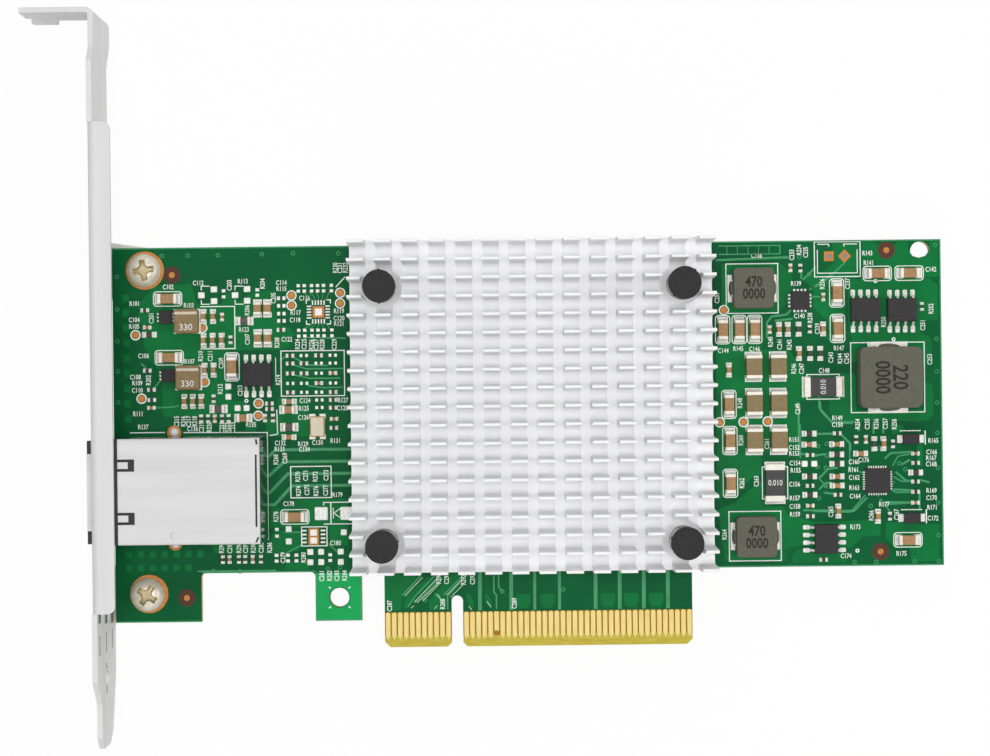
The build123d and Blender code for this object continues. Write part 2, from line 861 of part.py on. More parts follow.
crystal_spot = Pos(*crystal_place, 0)
nodes["crystal_base"] = crystal_spot * standing_block(*crystal_size, crystal_base_height)
nodes["crystal_lid"] = crystal_spot * standing_block(
    crystal_size[0] - 2 * crystal_lid_margin,
    crystal_size[1] - 2 * crystal_lid_margin,
    crystal_lid_height,
    crystal_base_height,
)

larger_chips = {
    "sense_resistor": (sense_places, sense_chip),
    "bulk_capacitor": (bulk_places, bulk_chip),
}
for kind, (places, chip) in larger_chips.items():
    nodes[f"{kind}_bodies"], nodes[f"{kind}_ends"] = ended_chips(places, chip)

smaller_chips = {
    "large_capacitors": (large_places, large_chip),
    "medium_capacitors": (medium_places, medium_chip),
    "ferrite_beads": (ferrite_places, medium_chip),
    "small_capacitors": (small_places, small_chip),
    "chip_resistors": (resistor_places, resistor_chip),
}
for kind, (places, chip) in smaller_chips.items():
    nodes[kind] = group(set_at(places, standing_block(*chip)))

os.makedirs("parts", exist_ok=True)
for name, shape in nodes.items():
    export_step(shape, f"parts/{name}.step")
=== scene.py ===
import math

import bmesh
import bpy
from mathutils import Matrix, Vector


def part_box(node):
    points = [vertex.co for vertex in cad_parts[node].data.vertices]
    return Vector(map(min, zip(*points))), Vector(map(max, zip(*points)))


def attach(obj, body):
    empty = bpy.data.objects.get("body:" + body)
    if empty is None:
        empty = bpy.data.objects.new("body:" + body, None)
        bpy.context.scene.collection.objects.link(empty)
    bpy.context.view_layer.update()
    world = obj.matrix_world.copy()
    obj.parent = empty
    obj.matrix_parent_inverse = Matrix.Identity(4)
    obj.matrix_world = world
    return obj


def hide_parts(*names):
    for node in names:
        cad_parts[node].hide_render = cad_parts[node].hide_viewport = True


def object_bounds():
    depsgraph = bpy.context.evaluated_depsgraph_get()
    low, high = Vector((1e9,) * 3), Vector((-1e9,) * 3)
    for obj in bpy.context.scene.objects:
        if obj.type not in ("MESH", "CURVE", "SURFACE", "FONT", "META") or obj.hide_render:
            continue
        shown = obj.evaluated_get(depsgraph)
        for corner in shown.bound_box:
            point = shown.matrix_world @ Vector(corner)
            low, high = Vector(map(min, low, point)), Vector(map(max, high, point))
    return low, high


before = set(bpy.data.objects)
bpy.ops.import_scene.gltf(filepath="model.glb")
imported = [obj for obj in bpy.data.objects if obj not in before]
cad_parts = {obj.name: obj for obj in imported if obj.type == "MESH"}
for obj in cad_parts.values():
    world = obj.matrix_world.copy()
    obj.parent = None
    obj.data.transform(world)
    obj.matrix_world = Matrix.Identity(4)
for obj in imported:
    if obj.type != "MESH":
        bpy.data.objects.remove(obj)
first_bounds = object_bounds()
MM = 0.001
# Heights over the board's face, and the board's other face, in millimetres.
PATCH_TOP = 0.006
SKIN = 0.012
COPPER_TOP = 0.03
LAND_TOP = 0.06
BOARD_BACK = -1.57
# Middles of the two bare footprints, the header's holes, the tab's hole and the jack's posts.
QUAD_X = -22.5
QUAD_Y = 55.8
DUAL_X = -23.7
HEADER_X = (62.3, 64.9)
HEADER_Y = 64.1
HOLE_X = -19.5
HOLE_Y = 8.4
POST_X = -46.65
# Widths of the printed lines, and the height of the printed letters.
LINE = 0.16
FINE_LINE = 0.14
LABEL_SIZE = 1.12
# Solids of the push-pins narrower than this have no head.
PIN_HEAD_LEAST = 4


def tint(red, green, blue):
    """Linear colour of an sRGB triple from 0 to 255."""
    parts = []
    for value in (red, green, blue):
        share = value / 255
        parts.append(share / 12.92 if share <= 0.04045 else ((share + 0.055) / 1.055) ** 2.4)
    return (*parts, 1.0)


def noise_colour(tree, low, high, grain, stretch):
    """Noise over the object's own coordinates, as a value and as a colour between two tints."""
    coords = tree.nodes.new("ShaderNodeTexCoord")
    mapping = tree.nodes.new("ShaderNodeMapping")
    mapping.inputs["Scale"].default_value = stretch
    noise = tree.nodes.new("ShaderNodeTexNoise")
    noise.inputs["Scale"].default_value = grain
    noise.inputs["Detail"].default_value = 4.0
    ramp = tree.nodes.new("ShaderNodeValToRGB")
    ramp.color_ramp.elements[0].position = 0.3
    ramp.color_ramp.elements[1].position = 0.7
    ramp.color_ramp.elements[0].color = tint(*low)
    ramp.color_ramp.elements[1].color = tint(*high)
    tree.links.new(coords.outputs["Object"], mapping.inputs["Vector"])
    tree.links.new(mapping.outputs["Vector"], noise.inputs["Vector"])
    tree.links.new(noise.outputs["Fac"], ramp.inputs["Fac"])
    return noise.outputs["Fac"], ramp.outputs["Color"]


def finish(name, low, high, rough=0.5, metal=0.0, grain=900.0, stretch=(1, 1, 1), bump=0.0, gloss=0.27):
    """Material whose colour and roughness wander a little over the surface."""
    made = bpy.data.materials.new(name)
    made.use_nodes = True
    tree = made.node_tree
    shader = tree.nodes["Principled BSDF"]
    shader.inputs["Metallic"].default_value = metal
    shader.inputs["Specular IOR Level"].default_value = gloss
    value, colour = noise_colour(tree, low, high, grain, stretch)
    level = tree.nodes.new("ShaderNodeMapRange")
    level.inputs["To Min"].default_value = max(0.05, rough - 0.08)
    level.inputs["To Max"].default_value = min(1.0, rough + 0.08)
    tree.links.new(value, level.inputs["Value"])
    tree.links.new(colour, shader.inputs["Base Color"])
    tree.links.new(level.outputs["Result"], shader.inputs["Roughness"])
    if bump:
        relief = tree.nodes.new("ShaderNodeBump")
        relief.inputs["Strength"].default_value = bump
        relief.inputs["Distance"].default_value = 0.00005
        tree.links.new(value, relief.inputs["Height"])
        tree.links.new(relief.outputs["Normal"], shader.inputs["Normal"])
    return made


def math_node(tree, kind, first, second):
    """Math node on a socket and a number or second socket."""
    node = tree.nodes.new("ShaderNodeMath")
    node.operation = kind
    tree.links.new(first, node.inputs[0])
    if isinstance(second, float):
        node.inputs[1].default_value = second
    else:
        tree.links.new(second, node.inputs[1])
    return node.outputs[0]


def colour_mix(tree, share, first, second):
    """Colour between two colours."""
    mix = tree.nodes.new("ShaderNodeMix")
    mix.data_type = "RGBA"
    tree.links.new(share, mix.inputs["Factor"])
    tree.links.new(first, mix.inputs["A"])
    tree.links.new(second, mix.inputs["B"])
    return mix.outputs["Result"]


def board_finish():
    """Green mask on both faces, bare laminate on the cut edges and round the edge contacts."""
    made = bpy.data.materials.new("board_mask")
    made.use_nodes = True
    tree = made.node_tree
    shader = tree.nodes["Principled BSDF"]
    shader.inputs["Roughness"].default_value = 0.42
    shader.inputs["Specular IOR Level"].default_value = 0.045
    _, mask = noise_colour(tree, (6, 82, 45), (8, 98, 52), 60.0, (1, 1, 1))
    _, olive = noise_colour(tree, (188, 170, 62), (204, 188, 84), 1500.0, (0.3, 2, 1))
    _, resin = noise_colour(tree, (158, 104, 26), (178, 122, 38), 1500.0, (0.3, 2, 1))
    geometry = tree.nodes.new("ShaderNodeNewGeometry")
    normal = tree.nodes.new("ShaderNodeSeparateXYZ")
    tree.links.new(geometry.outputs["Normal"], normal.inputs["Vector"])
    steep = math_node(tree, "ABSOLUTE", normal.outputs["Z"], 0.0)
    edge = math_node(tree, "LESS_THAN", steep, 0.5)
    coords = tree.nodes.new("ShaderNodeTexCoord")
    place = tree.nodes.new("ShaderNodeSeparateXYZ")
    tree.links.new(coords.outputs["Object"], place.inputs["Vector"])
    contact_top = 0.0058
    contact_left = -0.0125
    bevel_top = 0.0019
    low = math_node(tree, "LESS_THAN", place.outputs["Y"], contact_top)
    beside = math_node(tree, "GREATER_THAN", place.outputs["X"], contact_left)
    finger = math_node(tree, "MULTIPLY", low, beside)
    share = math_node(tree, "MAXIMUM", edge, finger)
    between = math_node(tree, "GREATER_THAN", place.outputs["Y"], bevel_top)
    inner = math_node(tree, "MULTIPLY", between, finger)
    bare = colour_mix(tree, inner, olive, resin)
    tree.links.new(colour_mix(tree, share, mask, bare), shader.inputs["Base Color"])
    return made


def shield_finish():
    """Satin top and polished walls of the jack, the walls painted a darker grey than the top as painted
    shade.
    """
    made = finish("shield_metal", (206, 206, 206), (217, 217, 217), 0.6, 0.2, 420.0, (0.08, 1, 1))
    tree = made.node_tree
    shader = tree.nodes["Principled BSDF"]
    geometry = tree.nodes.new("ShaderNodeNewGeometry")
    normal = tree.nodes.new("ShaderNodeSeparateXYZ")
    tree.links.new(geometry.outputs["Normal"], normal.inputs["Vector"])
    flat = math_node(tree, "GREATER_THAN", normal.outputs["Z"], 0.5)
    metal = math_node(tree, "ADD", math_node(tree, "MULTIPLY", flat, -0.94), 1.0)
    rough = math_node(tree, "ADD", math_node(tree, "MULTIPLY", flat, 0.5), 0.14)
    colour = shader.inputs["Base Color"].links[0].from_socket
    # Walls take a darker grey than the top: painted shade on the walls.
    mix = tree.nodes.new("ShaderNodeMix")
    mix.data_type = "RGBA"
    mix.inputs["A"].default_value = tint(136, 136, 136)
    tree.links.new(flat, mix.inputs["Factor"])
    tree.links.new(colour, mix.inputs["B"])
    tree.links.new(mix.outputs["Result"], shader.inputs["Base Color"])
    tree.links.new(metal, shader.inputs["Metallic"])
    tree.links.new(rough, shader.inputs["Roughness"])
    return made


M = {
    "board": board_finish(),
    "pour": finish("mask_over_copper", (4, 104, 50), (8, 118, 58), 0.42, 0.0, 120.0, gloss=0.055),
    # Mask over the tab's copper, painted lighter than the other copper areas: copper under the mask plus
    # painted light for the floor's bounce round the tab.
    "tab": finish("mask_over_tab_painted_lighter", (20, 156, 82), (28, 170, 92), 0.42, 0.0, 120.0, gloss=0.055),
    "trace": finish("mask_over_track", (48, 136, 84), (64, 152, 98), 0.4, 0.0, 500.0, gloss=0.16),
    "dark": finish("mask_bare", (8, 78, 42), (10, 90, 48), 0.45, 0.0, 90.0, gloss=0.11),
    "silk": finish("silk_ink", (230, 236, 230), (246, 249, 246), 0.6, 0.0, 2500.0),
    "copper": finish("bare_copper", (160, 94, 28), (186, 118, 42), 0.4, 0.15, 1200.0),
    "ring": finish("fiducial_keepout", (62, 30, 13), (76, 40, 20), 0.55, 0.0, 1500.0),
    "gold": finish("contact_gold", (216, 194, 107), (231, 213, 139), 0.42, 0.06, 700.0, (4, 0.4, 1)),
    "tin": finish("tin", (204, 203, 198), (226, 225, 220), 0.42, 0.12, 1600.0, bump=0.15),
    "solder": finish("solder", (208, 207, 203), (236, 235, 231), 0.4, 0.08, 2200.0, bump=0.25),
    "bracket": finish("bracket_steel", (215, 215, 215), (223, 223, 223), 0.65, 0.02, 300.0, (1, 0.05, 1)),
    "shield": shield_finish(),
    "screw": finish("screw_steel", (204, 196, 176), (221, 214, 196), 0.34, 0.2, 900.0),
    # Darker tan for the faces of the cross: painted shade in the screw's recess.
    "recess_shade": finish("screw_recess_painted_shade", (172, 156, 116), (194, 180, 142), 0.4, 0.18, 900.0),
    "sink": finish(
        "sink_aluminium", (244, 244, 245), (248, 248, 249), 0.6, 0.0, 260.0, (1, 0.06, 1), gloss=0.11
    ),
    "nylon": finish("push_pin_nylon", (42, 42, 42), (50, 50, 50), 0.6, 0.0, 1800.0, bump=0.2, gloss=0.11),
    "wire": finish("spring_wire", (170, 168, 164), (196, 194, 190), 0.3, 0.8, 900.0),
    "plastic": finish("jack_plastic", (26, 26, 27), (36, 36, 37), 0.5, 0.0, 1500.0, bump=0.1),
    "lens": finish("lens_plastic", (214, 220, 214), (232, 236, 232), 0.2, 0.0, 400.0),
    "lid": finish("lid_metal", (176, 178, 180), (192, 194, 196), 0.3, 0.8, 700.0),
    "substrate": finish("substrate_laminate", (16, 84, 48), (22, 98, 56), 0.5, 0.0, 900.0),
    "pad": finish("thermal_pad", (168, 170, 176), (184, 186, 190), 0.8, 0.0, 1500.0),
    "large_core": finish(
        "large_core", (90, 90, 80), (104, 103, 91), 0.75, 0.0, 2600.0, bump=0.35, gloss=0.16
    ),
    "small_core": finish("small_core", (126, 106, 70), (142, 122, 86), 0.6, 0.0, 2200.0, bump=0.25),
    "stripe": finish("core_stripe", (200, 188, 168), (212, 202, 184), 0.6, 0.0, 2200.0),
    "epoxy": finish("chip_epoxy", (42, 40, 41), (54, 52, 53), 0.62, 0.0, 3000.0, bump=0.25, gloss=0.19),
    "ceramic": finish("capacitor_ceramic", (150, 112, 72), (172, 134, 92), 0.5, 0.0, 2200.0),
    "bulk": finish("bulk_ceramic", (118, 102, 64), (136, 118, 80), 0.5, 0.0, 1500.0),
    "bead": finish("bead_ceramic", (74, 70, 68), (88, 84, 80), 0.55, 0.0, 2000.0),
    "resist": finish("resistor_coat", (30, 29, 30), (42, 40, 41), 0.4, 0.0, 1800.0),
    "end": finish("chip_end", (206, 201, 188), (228, 224, 212), 0.4, 0.1, 2400.0, bump=0.1),
    "crystal": finish("crystal_ceramic", (176, 140, 66), (204, 168, 92), 0.5, 0.0, 1500.0),
    "can": finish("crystal_metal", (198, 188, 166), (210, 201, 182), 0.5, 0.12, 1400.0, (1, 0.2, 1)),
    # Pale lines on the tracks: painted highlights.
    "glint": finish("track_painted_highlight", (140, 184, 146), (178, 208, 178), 0.4, 0.0, 600.0),
    "pit": finish("hole_shade", (104, 104, 102), (122, 121, 119), 0.5, 0.3, 900.0),
    "print": finish("part_ink", (30, 29, 28), (40, 38, 37), 0.7, 0.0, 2500.0),
    "pale": finish("part_pale_ink", (206, 206, 204), (224, 224, 222), 0.6, 0.0, 2500.0),
}


def ccw(outline):
    """Outline running anticlockwise."""
    pairs = zip(outline, outline[1:] + outline[:1])
    area = sum(a[0] * b[1] - b[0] * a[1] for a, b in pairs)
    return outline if area > 0 else outline[::-1]


def ring(x, y, radius, sides):
    """Points round a circle."""
    turns = [2 * math.pi * i / sides for i in range(sides)]
    return [(x + radius * math.cos(t), y + radius * math.sin(t)) for t in turns]


def rounded(x0, y0, x1, y1, radius, steps=4):
    """Outline of a rectangle with round corners."""
    points = []
    corners = ((x1, y1, 0), (x0, y1, 90), (x0, y0, 180), (x1, y0, 270))
    for cx, cy, start in corners:
        px = cx - radius if cx == x1 else cx + radius
        py = cy - radius if cy == y1 else cy + radius
        for i in range(steps + 1):
            turn = math.radians(start + 90 * i / steps)
            points.append((px + radius * math.cos(turn), py + radius * math.sin(turn)))
    return points


class Shape:
    """Faces of one piece, collected in millimetres."""

    def __init__(self):
        self.verts = []
        self.faces = []

    def add(self, verts, faces):
        """Points, and faces that count from the first of them."""
        base = len(self.verts)
        self.verts.extend(verts)
        self.faces.extend([base + i for i in face] for face in faces)

    def slab(self, outline, low, high, draft=0.0):
        """Upright prism on an outline, drawn in by the draft at its top."""
        outline = ccw(list(outline))
        count = len(outline)
        cx = sum(p[0] for p in outline) / count
        cy = sum(p[1] for p in outline) / count
        verts = [(x, y, low) for x, y in outline]
        for x, y in outline:
            reach = math.hypot(x - cx, y - cy) or 1.0
            share = 1 - draft / reach
            verts.append((cx + (x - cx) * share, cy + (y - cy) * share, high))
        faces = [list(range(count, 2 * count)), list(range(count - 1, -1, -1))]
        for i in range(count):
            j = (i + 1) % count
            faces.append([i, j, count + j, count + i])
        self.add(verts, faces)

    def block(self, lo, hi):
        """Upright block between two corners."""
        self.slab([(lo[0], lo[1]), (hi[0], lo[1]), (hi[0], hi[1]), (lo[0], hi[1])], lo[2], hi[2])

    def patch(self, x, y, wide, tall, high, low=0.0):
        """Flat rectangle centred on a point of the board."""
        self.block((x - wide / 2, y - tall / 2, low), (x + wide / 2, y + tall / 2, high))

    def strip(self, path, width, high, low=0.0, closed=False):
        """Flat line of even width along a path."""
        count = len(path)
        sides = []
        for i in range(count):
            before = path[i - 1] if i or closed else path[0]
            after = path[(i + 1) % count] if i + 1 < count or closed else path[-1]
            here = Vector(path[i])
            ahead = Vector(after) - here
            back = here - Vector(before)
            ahead = ahead.normalized() if ahead.length else back.normalized()
            back = back.normalized() if back.length else ahead
            mean = (ahead + back).normalized()
            out = Vector((-mean.y, mean.x))
            half = width / 2 / max(0.4, mean.dot(ahead))
            sides.append((here + out * half, here - out * half))
        verts = []
        for left, right in sides:
            verts += [(*left, high), (*right, high), (*left, low), (*right, low)]
        faces = []
        for i in range(count if closed else count - 1):
            a = 4 * i
            b = 4 * ((i + 1) % count)
            faces += [[a, a + 1, b + 1, b], [a + 1, a + 3, b + 3, b + 1], [a + 2, a, b, b + 2]]
        if not closed:
            last = 4 * (count - 1)
            faces += [[0, 2, 3, 1], [last, last + 1, last + 3, last + 2]]
        self.add(verts, faces)

    def hoop(self, x, y, radius, width, high, low=0.0, sides=28):
        """Flat ring."""
        self.strip(ring(x, y, radius - width / 2, sides), width, high, low, closed=True)

    def disc(self, x, y, radius, high, low=0.0, sides=24):
        """Flat round disc."""
        self.slab(ring(x, y, radius, sides), low, high)

    def turned(self, x, y, profile, sides=32):
        """Body of revolution from radius and height pairs, closed at both ends."""
        verts = []
        for radius, height in profile:
            verts += [(px, py, height) for px, py in ring(x, y, radius, sides)]
        faces = [list(range(sides - 1, -1, -1))]
        for row in range(len(profile) - 1):
            for i in range(sides):
                j = (i + 1) % sides
                a = row * sides
                faces.append([a + i, a + j, a + sides + j, a + sides + i])
        top = (len(profile) - 1) * sides
        faces.append(list(range(top, top + sides)))
        self.add(verts, faces)

    def coil(self, x, y, low, high, radius, wire, turns, steps=30, sides=8):
        """Round wire wound up an axis."""
        verts = []
        rows = turns * steps + 1
        for row in range(rows):
            turn = 2 * math.pi * row / steps
            climb = low + wire / 2 + (high - low - wire) * row / (rows - 1)
            for i in range(sides):
                angle = 2 * math.pi * i / sides
                reach = radius - wire / 2 + wire / 2 * math.cos(angle)
                lift = climb + wire / 2 * math.sin(angle)
                verts.append((x + reach * math.cos(turn), y + reach * math.sin(turn), lift))
        faces = [list(range(sides)), list(range(len(verts) - 1, len(verts) - 1 - sides, -1))]
        for row in range(rows - 1):
            for i in range(sides):
                j = (i + 1) % sides
                a = row * sides
                faces.append([a + i, a + sides + i, a + sides + j, a + j])
        self.add(verts, faces)

    def fillet(self, start, along, across, reach, half, high, base=0.04):
        """Solder drawn up from a pad to the end of a part."""
        profile = ((1.0, 0.0), (0.62, 0.10), (0.3, 0.34), (0.08, 0.72), (0.0, 1.0))
        verts = []
        for out, lift in profile:
            side = half * (1.0 - 0.1 * lift)
            point = Vector(start) + Vector(along) * (reach * out)
            for sign in (-1, 1):
                edge = point + Vector(across) * (side * sign)
                verts.append((edge.x, edge.y, base + (high - base) * lift))
        count = len(profile)
        for sign in (-1, 1):
            edge = Vector(start) + Vector(across) * (half * sign)
            verts.append((edge.x, edge.y, base))
        faces = [[2 * i, 2 * i + 1, 2 * i + 3, 2 * i + 2] for i in range(count - 1)]
        for side in (0, 1):
            faces.append([2 * count + side] + [2 * i + side for i in range(count)])
        self.add(verts, faces)

    def piece(self, name, finish_name, slot=None, stands_for=(), bevel=0.0, angle=35):
        """Object made of the faces collected so far."""
        mesh = bpy.data.meshes.new(name)
        mesh.from_pydata([Vector(v) * MM for v in self.verts], [], self.faces)
        return settle(name, mesh, finish_name, stands_for, bevel, angle)


def settle(name, mesh, finish_name, stands_for, bevel, angle, segments=2):
    """Object for a mesh, with its finish, softened edges and body."""
    mesh.materials.clear()
    mesh.materials.append(M[finish_name])
    work = bmesh.new()
    work.from_mesh(mesh)
    bmesh.ops.recalc_face_normals(work, faces=work.faces)
    work.to_mesh(mesh)
    work.free()
    mesh.shade_smooth()
    mesh.set_sharp_from_angle(angle=math.radians(angle))
    obj = bpy.data.objects.new(name, mesh)
    bpy.context.scene.collection.objects.link(obj)
    if bevel:
        soft = obj.modifiers.new("edges", "BEVEL")
        soft.width = bevel * MM
        soft.segments = segments
        soft.limit_method = "ANGLE"
        soft.angle_limit = math.radians(angle)
        soft.harden_normals = True
    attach(obj, "root")
    if stands_for:
        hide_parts(*stands_for)
    return obj


def copied(node, finish_name, bevel, angle=35, segments=2):
    """Piece with the CAD node's own form and softened edges."""
    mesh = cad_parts[node].data.copy()
    work = bmesh.new()
    work.from_mesh(mesh)
    bmesh.ops.remove_doubles(work, verts=work.verts, dist=2e-6)
    limit = math.radians(0.5)
    bmesh.ops.dissolve_limit(work, angle_limit=limit, verts=work.verts, edges=work.edges)
    work.to_mesh(mesh)
    work.free()
    if "custom_normal" in mesh.attributes:
        mesh.attributes.remove(mesh.attributes["custom_normal"])
    return settle(node + "_soft", mesh, finish_name, (node,), bevel, angle, segments)


def shown(node, finish_name):
    """CAD node kept as it is, with its finish."""
    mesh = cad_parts[node].data
    mesh.materials.clear()
    mesh.materials.append(M[finish_name])


def solids(node):
    """Boxes, in millimetres, of the separate solids of a CAD node."""
    work = bmesh.new()
    work.from_mesh(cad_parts[node].data)
    bmesh.ops.remove_doubles(work, verts=work.verts, dist=2e-6)
    waiting = set(work.verts)
    boxes = []
    while waiting:
        front = [waiting.pop()]
        group = []
        while front:
            vert = front.pop()
            group.append(vert.co / MM)
            for edge in vert.link_edges:
                other = edge.other_vert(vert)
                if other in waiting:
                    waiting.remove(other)
                    front.append(other)
        lo = [min(p[i] for p in group) for i in range(3)]
        hi = [max(p[i] for p in group) for i in range(3)]
        boxes.append((lo, hi))
    work.free()
    return sorted(boxes)


def middle(box):
    """Centre of a box."""
    return [(a + b) / 2 for a, b in zip(*box)]


def lettering(shape, text, x, y, size, turn=0.0, high=SKIN, narrow=0.74, bold=0.012):
    """Plain letters laid flat."""
    curve = bpy.data.curves.new("letters", "FONT")
    curve.body = text
    curve.align_x = "CENTER"
    curve.align_y = "CENTER"
    curve.resolution_u = 2
    curve.offset = bold
    holder = bpy.data.objects.new("letters", curve)
    bpy.context.scene.collection.objects.link(holder)
    graph = bpy.context.evaluated_depsgraph_get()
    mesh = bpy.data.meshes.new_from_object(holder.evaluated_get(graph))
    c = math.cos(math.radians(turn))
    s = math.sin(math.radians(turn))
    verts = []
    for vert in mesh.vertices:
        px = vert.co.x * size * narrow
        py = vert.co.y * size
        verts.append((x + c * px - s * py, y + s * px + c * py, high))
    shape.add(verts, [list(face.vertices) for face in mesh.polygons])
    bpy.data.objects.remove(holder)
    bpy.data.curves.remove(curve)
    bpy.data.meshes.remove(mesh)


def chip_end(box, axis, sign, wrap, reach, ends, joints):
    """Metal cap on one end of a chip, with its pad and the solder up the cap."""
    lo, hi = box
    cross = 1 - axis
    half = (hi[cross] - lo[cross]) / 2
    margin = 0.14
    cap_lo = list(lo)
    cap_hi = list(hi)
    tip = middle(box)
    if sign > 0:
        tip[axis] = hi[axis]
        cap_lo[axis] = hi[axis] - wrap
    else:
        tip[axis] = lo[axis]
        cap_hi[axis] = lo[axis] + wrap
    ends.block(cap_lo, cap_hi)
    along = [0, 0, 0]
    along[axis] = sign
    across = [0, 0, 0]
    across[cross] = 1
    pad = list(tip)
    pad[axis] += sign * (reach - wrap) / 2
    size = [0, 0]
    size[axis] = reach + wrap
    size[cross] = 2 * half + margin
    joints.patch(pad[0], pad[1], size[0], size[1], 0.04)
    joints.fillet((tip[0], tip[1], 0), along, across, reach * 0.85, half * 0.92, hi[2] * 0.62)


def chip(box, wrap, bodies, ends, joints, trim=0.03, reach=0.45):
    """Ceramic block, metal caps round its ends, and solder up each cap."""
    lo, hi = box
    axis = 0 if hi[0] - lo[0] >= hi[1] - lo[1] else 1
    cross = 1 - axis
    body_lo = list(lo)
    body_hi = list(hi)
    inset = wrap * 0.7
    body_lo[axis] += inset
    body_hi[axis] -= inset
    body_lo[cross] += trim
    body_hi[cross] -= trim
    body_hi[2] -= trim
    body_lo[2] += 0.05
    bodies.block(body_lo, body_hi)
    for sign in (-1, 1):
        chip_end(box, axis, sign, wrap, reach, ends, joints)


def chip_row(node, wrap, body, slot, reach):
    """Pieces for all chips of one CAD node."""
    bodies = Shape()
    ends = Shape()
    joints = Shape()
    for box in solids(node):
        chip(box, wrap, bodies, ends, joints, reach=reach)
    bodies.piece(node + "_bodies", body, slot, (node,), 0.05)
    ends.piece(node + "_ends", "end", "tin_plate", (), 0.06)
    joints.piece(node + "_joints", "solder", "tin_plate", (), 0.0)


def tiny_chip(x, y, upright, bodies, ends, joints):
    """Chip of the smallest size, 1 x 0.5 mm."""
    wide, tall = (0.25, 0.5) if upright else (0.5, 0.25)
    lo = [x - wide, y - tall, 0.03]
    hi = [x + wide, y + tall, 0.4]
    chip((lo, hi), 0.24, bodies, ends, joints, 0.015, 0.2)


TINY_FLAT = (
    (-51.3, 56.4), (-50.95, 53.55), (-51.0, 46.4), (-50.35, 43.2), (-50.3, 41.5), (-50.4, 40.2),
    (-30.8, 40.7), (-30.8, 39.8), (-28.75, 52.9), (-20.1, 38.05), (-20.15, 36.55), (58.8, 31.15),
    (58.75, 26.05), (58.75, 22.75), (58.75, 21.0), (63.35, 34.7), (63.35, 24.5), (76.3, 31.2),
    (76.3, 29.65), (76.25, 26.55), (76.25, 24.85), (76.2, 23.05), (60.85, 13.75), (-20.2, 41.2),
    (-20.2, 39.9),
)
TINY_TALL = (
    (-38.5, 55.15), (-37.15, 51.35), (-40.05, 41.6), (55.9, 62.25), (57.55, 62.2), (77.65, 55.6),
    (52.35, 52.05), (59.0, 52.05), (66.5, 33.65), (68.1, 33.65), (72.6, 32.85), (71.95, 20.85),
    (61.3, 57.35),
    *((x, 38.3) for x in (-42.15, -41.0, -39.9, -38.7, -37.6, -31.55, -30.25)),
    *((x, 14.9) for x in (-38.8, -37.7, -36.15, -35.1, -33.85, -32.5)),
)
TINY_GRID_X = (-27.3, -25.0, -22.55, -20.2)
TINY_GRID_Y = (48.6, 47.3, 45.65, 44.0, 42.5)
TINY_FILLED = ((0, 0), (2, 0), (0, 1), (1, 1), (0, 2), (1, 2), (3, 2), (2, 3), (0, 4), (3, 4))


def build_tiny_chips():
    """Smallest chips, and the bare pairs of lands among them."""
    brown = Shape()
    black = Shape()
    ends = Shape()
    joints = Shape()
    for i, j in TINY_FILLED:
        tiny_chip(TINY_GRID_X[i], TINY_GRID_Y[j], False, brown if i + j == 5 else black, ends, joints)
    for count, (x, y) in enumerate(TINY_FLAT):
        tiny_chip(x, y, False, brown if count % 4 == 1 else black, ends, joints)
    for count, (x, y) in enumerate(TINY_TALL):
        tiny_chip(x, y, True, brown if count % 3 == 0 else black, ends, joints)
    places = [(i, j) for i in range(4) for j in range(5)]
    bare = [(TINY_GRID_X[i], TINY_GRID_Y[j]) for i, j in places if (i, j) not in TINY_FILLED]
    bare += [(-22.5, 41.2), (-22.5, 39.95)]
    for x, y in bare:
        for side in (-0.46, 0.46):
            land = x + side
            joints.slab(rounded(land - 0.22, y - 0.26, land + 0.22, y + 0.26, 0.08), 0, LAND_TOP)
    brown.piece("tiny_capacitors", "ceramic", "capacitor_ceramic", (), 0.03)
    black.piece("tiny_resistors", "resist", "resistor_coat", (), 0.03)
    ends.piece("tiny_chip_ends", "end", "tin_plate", (), 0.03)
    joints.piece("tiny_chip_joints", "solder", "tin_plate", (), 0.0)


def build_chips():
    """Chips that are CAD nodes, and the numbers on the sense resistors."""
    chip_row("large_capacitors", 0.55, "ceramic", "capacitor_ceramic", 0.55)
    chip_row("medium_capacitors", 0.42, "ceramic", "capacitor_ceramic", 0.5)
    chip_row("small_capacitors", 0.36, "ceramic", "capacitor_ceramic", 0.42)
    chip_row("ferrite_beads", 0.42, "bead", "bead_ceramic", 0.5)
    chip_row("chip_resistors", 0.34, "resist", "resistor_coat", 0.42)
    wide_chips("bulk_capacitor", 0.6, "bulk", "capacitor_ceramic", 0.55)
    wide_chips("sense_resistor", 1.05, "resist", "sense_body", 0.35)
    marks = Shape()
    for box in solids("sense_resistor_bodies"):
        x, y, _ = middle(box)
        level = box[1][0] - box[0][0] > box[1][1] - box[0][1]
        lettering(marks, "0.010", x, y, 1.35, 90 if level else 0, box[1][2] + 0.02, 0.8)
    marks.piece("sense_marks", "pale")


def wide_chips(kind, wrap, body, slot, reach):
    """Larger chips, whose bodies and metal ends are separate CAD nodes."""
    bodies = Shape()
    ends = Shape()
    joints = Shape()
    caps = solids(kind + "_ends")
    for box in solids(kind + "_bodies"):
        x, y, _ = middle(box)
        group = [box] + [c for c in caps if math.hypot(middle(c)[0] - x, middle(c)[1] - y) < 3.2]
        lo = [min(b[0][i] for b in group) for i in range(3)]
        hi = [max(b[1][i] for b in group) for i in range(3)]
        chip((lo, hi), wrap, bodies, ends, joints, reach=reach)
    bodies.piece(kind + "_blocks", body, slot, (kind + "_bodies",), 0.05)
    ends.piece(kind + "_caps", "end", "tin_plate", (kind + "_ends",), 0.1)
    joints.piece(kind + "_joints", "solder", "tin_plate", (), 0.0)


